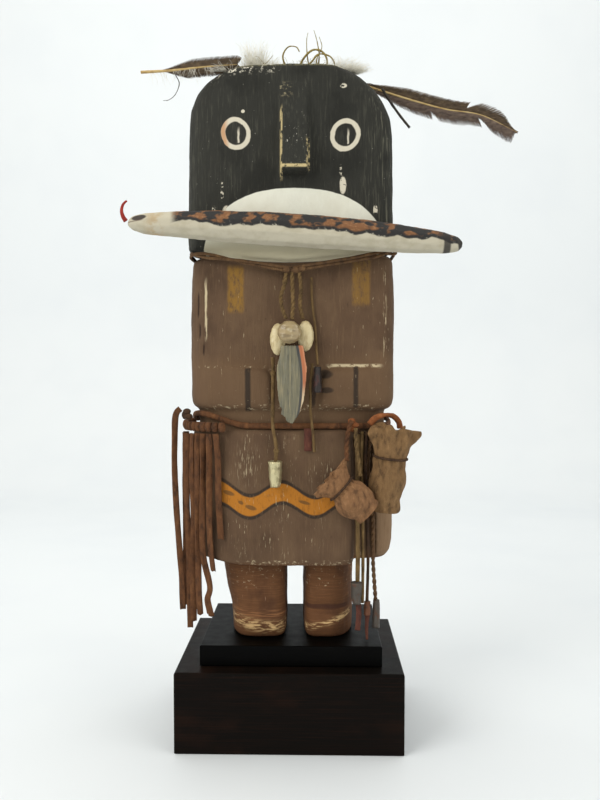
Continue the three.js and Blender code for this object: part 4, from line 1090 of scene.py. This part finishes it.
def cone_shape(place, top, bottom, top_radius, bottom_radius, crumple, seed, open_top=False):
    """A rolled sheet cone with its lapped seam and a wall that shows at the open end."""
    sides, rows = 40, 14
    wall = 0.45
    vertices, faces = [], []
    height = top - bottom

    def put(row_radius, z, shade):
        for k in range(sides):
            a = 2 * math.pi * k / sides
            lap = 0.45 * max(0.0, 1 - ((a - 4.9) % (2 * math.pi)) / 0.7)
            dent = crumple * noise.noise((math.cos(a) * 1.7 + seed, math.sin(a) * 1.7, z / 4.0))
            r = max(row_radius + (lap + dent) * shade, 0.05)
            vertices.append(Vector((place[0] + r * math.cos(a), place[1] + r * math.sin(a), z)) * MM)

    for i in range(rows + 1):
        t = i / rows
        put(top_radius + (bottom_radius - top_radius) * t, top - height * t, 1.0)
    mouth_rows = [(bottom_radius - wall, bottom), (bottom_radius * 0.6, bottom + height * 0.35), (0.1, bottom + height * 0.4)]
    if open_top:
        mouth_rows = [(0.1, bottom)]
    for r, z in mouth_rows:
        put(r, z, 0.6)
    count = rows + 1 + len(mouth_rows)
    for i in range(count - 1):
        for k in range(sides):
            m = (k + 1) % sides
            faces.append((i * sides + k, (i + 1) * sides + k, (i + 1) * sides + m, i * sides + m))
    if open_top:
        start = len(vertices)
        for r, z in ((top_radius - wall, top), (top_radius * 0.8, top - height * 0.3), (0.1, top - height * 0.32)):
            put(r, z, 0.6)
        ring_starts = [0, start, start + sides, start + 2 * sides]
        for a, b in zip(ring_starts, ring_starts[1:]):
            for k in range(sides):
                m = (k + 1) % sides
                faces.append((b + k, a + k, a + m, b + m))
        faces.append(tuple(range(start + 2 * sides, start + 3 * sides)))
    else:
        faces.append(tuple(range(sides)))
    last = (count - 1) * sides
    faces.append(tuple(range(last, last + sides))[::-1])
    return vertices, faces


def cone(node, place, top, bottom, top_radius, bottom_radius, finish, slot, crumple=0.4, open_top=False):
    seed = sum(ord(c) for c in node) % 13
    shape = cone_shape(place, top, bottom, top_radius, bottom_radius, crumple, seed, open_top)
    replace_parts(piece(node + "_sheet", *shape, finish, slot), node)


cone("kilt_cone", (-10.4, -52.4), 216.4, 197.2, 5.4, 3.9, TIN, "bright_tin", 0.7, True)
cone("dark_tinkler", (21, -50.4), 286.6, 267.5, 2.4, 3.4, BLACK_HORN, "dark_metal", 0.3)
cone("drop_cone_1", (50.6, -44.5), 123.6, 107.3, 4.5, 3.4, DARK_METAL, "dark_metal", 0.6)
cone("drop_cone_3", (59.1, -39), 107.6, 97.2, 2.3, 2.5, RUST_METAL, "dark_metal", 0.5)
cone("drop_cone_4", (66.2, -36), 107.8, 86.5, 2.5, 2.9, DARK_METAL, "dark_metal", 0.4)


def tag(node, width, thickness, route, finish, slot, taper=0.0):
    path = along(mm(route), 0.0008)
    shape = strip_section(width * MM, thickness * MM, len(node), 0.15, 0.2)

    def section(t):
        return [(a * (1 - taper * t), b) for a, b in shape(t)]
    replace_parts(piece(node + "_hide", *tube(path, section), finish, slot), node)


tag("leather_tag", 5.6, 0.9, [(13.6, -48.6, 240.6), (13.8, -48.7, 232), (13.8, -48.6, 223.5)], RED_HIDE, "red_leather")
tag("drop_tassel_1", 4, 1.4, [(52, -44.5, 106.9), (52.3, -44.5, 98), (51.4, -44.5, 87)], RED_HIDE, "red_leather")
tag("drop_tassel_3", 3.4, 1.2, [(59.2, -39, 96.8), (58.6, -39.4, 88), (58.9, -40, 78.4)], RED_HIDE, "red_leather", 0.5)


# ---------------------------------------------------------------- pouches

def pouch(node, centre, axis, radius, depth, belly, neck, mouth, mouth_depth, ruffle, folds, swirl, finish, seed):
    """A gathered hide bag: a puckered belly, a tied neck and a wavy ruffled mouth."""
    lengthwise = Vector(axis).normalized()
    across = -(Vector((0, -1, 0)).cross(lengthwise)).normalized()
    toward = lengthwise.cross(across)
    sides, rows, neck_row = 110, 72, 44
    vertices, faces = [], []
    top = math.sin(0.36 * math.pi) * belly
    for i in range(rows + 1):
        for k in range(sides):
            a = 2 * math.pi * k / sides
            if i <= neck_row:
                t = i / neck_row
                angle = (-0.495 + 0.855 * t) * math.pi
                reach = math.sin(angle) * belly
                gather = step_up(t, 0.45, 1.0)
                pucker = 1 + 0.08 * gather * math.sin(folds * a + swirl * t * 6 + 2 * noise.noise((t * 4, a, seed)))
                dimple = 1 + 0.12 * noise.noise((math.cos(a) * 1.6, math.sin(a) * 1.6, t * 5 + seed))
                wide = max(neck, radius * math.cos(angle)) * pucker * dimple
                deep = max(neck * 0.8, depth * math.cos(angle)) * pucker * dimple
                if t < 0.02:
                    wide = deep = 0.05
            else:
                t = (i - neck_row) / (rows - neck_row)
                reach = top + ruffle * t * (1 + 0.28 * noise.noise((math.cos(a) * 2, math.sin(a) * 2, seed)))
                wave = 1 + step_up(t, 0.1, 1) * (0.24 * math.sin(folds * 0.55 * a + 1.4 * noise.noise((a, seed, 2)))
                                                 + 0.4 * noise.noise((math.cos(a) * 2.6, math.sin(a) * 2.6, seed + t * 3.2)))
                wide = neck + (mouth * wave - neck) * math.sin(2 * t)
                deep = neck * 0.8 + (mouth_depth * wave - neck * 0.8) * t
            vertices.append((Vector(centre) + lengthwise * reach + across * wide * math.cos(a)
                             + toward * deep * math.sin(a)) * MM)
    hollow = []
    for depth_share, shrink in ((0.0, 0.86), (0.45, 0.6), (0.9, 0.35)):
        for k in range(sides):
            rim_point = vertices[rows * sides + k]
            middle = (Vector(centre) + lengthwise * (top + ruffle * (1 - depth_share))) * MM
            flat = rim_point - lengthwise * ((rim_point - middle).dot(lengthwise)) if depth_share else rim_point
            hollow.append(middle.lerp(flat, shrink) if depth_share else
                          rim_point.lerp((Vector(centre) + lengthwise * (top + ruffle)) * MM, 1 - shrink))
    vertices += hollow
    total = rows + 1 + 3
    for i in range(total - 1):
        for k in range(sides):
            m = (k + 1) % sides
            faces.append((i * sides + k, i * sides + m, (i + 1) * sides + m, (i + 1) * sides + k))
    faces.append(tuple(range(sides))[::-1])
    faces.append(tuple(range((total - 1) * sides, total * sides)))
    tie_centre = Vector(centre) + lengthwise * top
    tie = [(tie_centre + across * (neck + 0.9) * math.cos(2 * math.pi * k / 48)
            + toward * (neck * 0.8 + 0.9) * math.sin(2 * math.pi * k / 48)) * MM for k in range(48)]
    made = piece(node + "_bag", vertices, faces, finish, "pouch_leather")
    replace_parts(made, node)
    piece(node + "_tie", *tube(tie, lambda t: oval(0.0018, 0.0018, 8), lengthwise, closed=True),
          DARK_HIDE, "pouch_leather")


pouch("pouch_front", (48.2, -59, 188.4), (-0.74, 0, 0.67), 14.4, 11.4, 14.4, 10.4, 13, 8, 12, 15, 1.0,
      POUCH_HIDE, 3)
pouch("pouch_side", (72.9, -46.8, 200), (0.12, -0.09, 1), 13.8, 11.5, 21.5, 11.8, 15.3, 8.5, 22, 11, 0.4,
      SIDE_HIDE, 8)


# ---------------------------------------------------------------- room and light

def floor_finish():
    f = Finish("pale_floor", srgb(226, 230, 234), 0.7, specular=0.2)
    f.paint(f.noise((200, 200, 200), 2).rise(0.4, 0.7) * 0.3, srgb(218, 223, 229))
    return f


def backdrop():
    """A pale floor that sweeps up into a plain wall behind."""
    half, front, turn_start, bend, height = 3.0, -2.0, 1.0, 0.5, 3.0
    profile = [(front, 0.0), (turn_start, 0.0)]
    for k in range(1, 13):
        a = math.pi / 2 * k / 12
        profile.append((turn_start + bend * math.sin(a), bend * (1 - math.cos(a))))
    profile.append((turn_start + bend, height))
    mesh = bpy.data.meshes.new("floor_sweep")
    vertices = [(x, y, z) for y, z in profile for x in (-half, half)]
    mesh.from_pydata(vertices, [], [(2 * i, 2 * i + 1, 2 * i + 3, 2 * i + 2) for i in range(len(profile) - 1)])
    mesh.polygons.foreach_set("use_smooth", [True] * len(mesh.polygons))
    mesh.materials.append(floor_finish().material)
    made = bpy.data.objects.new("floor_sweep", mesh)
    bpy.context.scene.collection.objects.link(made)


def soft_light(name, place, aim, size, power, colour):
    data = bpy.data.lights.new(name, "AREA")
    data.shape = "RECTANGLE"
    data.size, data.size_y = size
    data.energy = power
    data.color = colour
    light = bpy.data.objects.new(name, data)
    light.location = place
    light.rotation_euler = (Vector(aim) - Vector(place)).to_track_quat("-Z", "Y").to_euler()
    bpy.context.scene.collection.objects.link(light)


backdrop()
soft_light("window_left", (-1.3, -1.2, 1.3), (0, 0, 0.3), (1.2, 1.2), 22, (1.0, 0.98, 0.92))
soft_light("fill_right", (1.5, -1.0, 0.9), (0, 0, 0.25), (1.2, 1.2), 8, (1.0, 0.99, 0.95))
soft_light("wall_wash", (0.0, 0.2, 1.9), (0, 0.9, 0.2), (2.2, 0.8), 15, (1.0, 1.0, 0.96))
world = bpy.data.worlds.new("room")
world.use_nodes = True
world.node_tree.nodes["Background"].inputs[0].default_value = (1.0, 0.99, 0.92, 1.0)
world.node_tree.nodes["Background"].inputs[1].default_value = 0.62
bpy.context.scene.world = world
bpy.context.scene.view_settings.view_transform = "Standard"
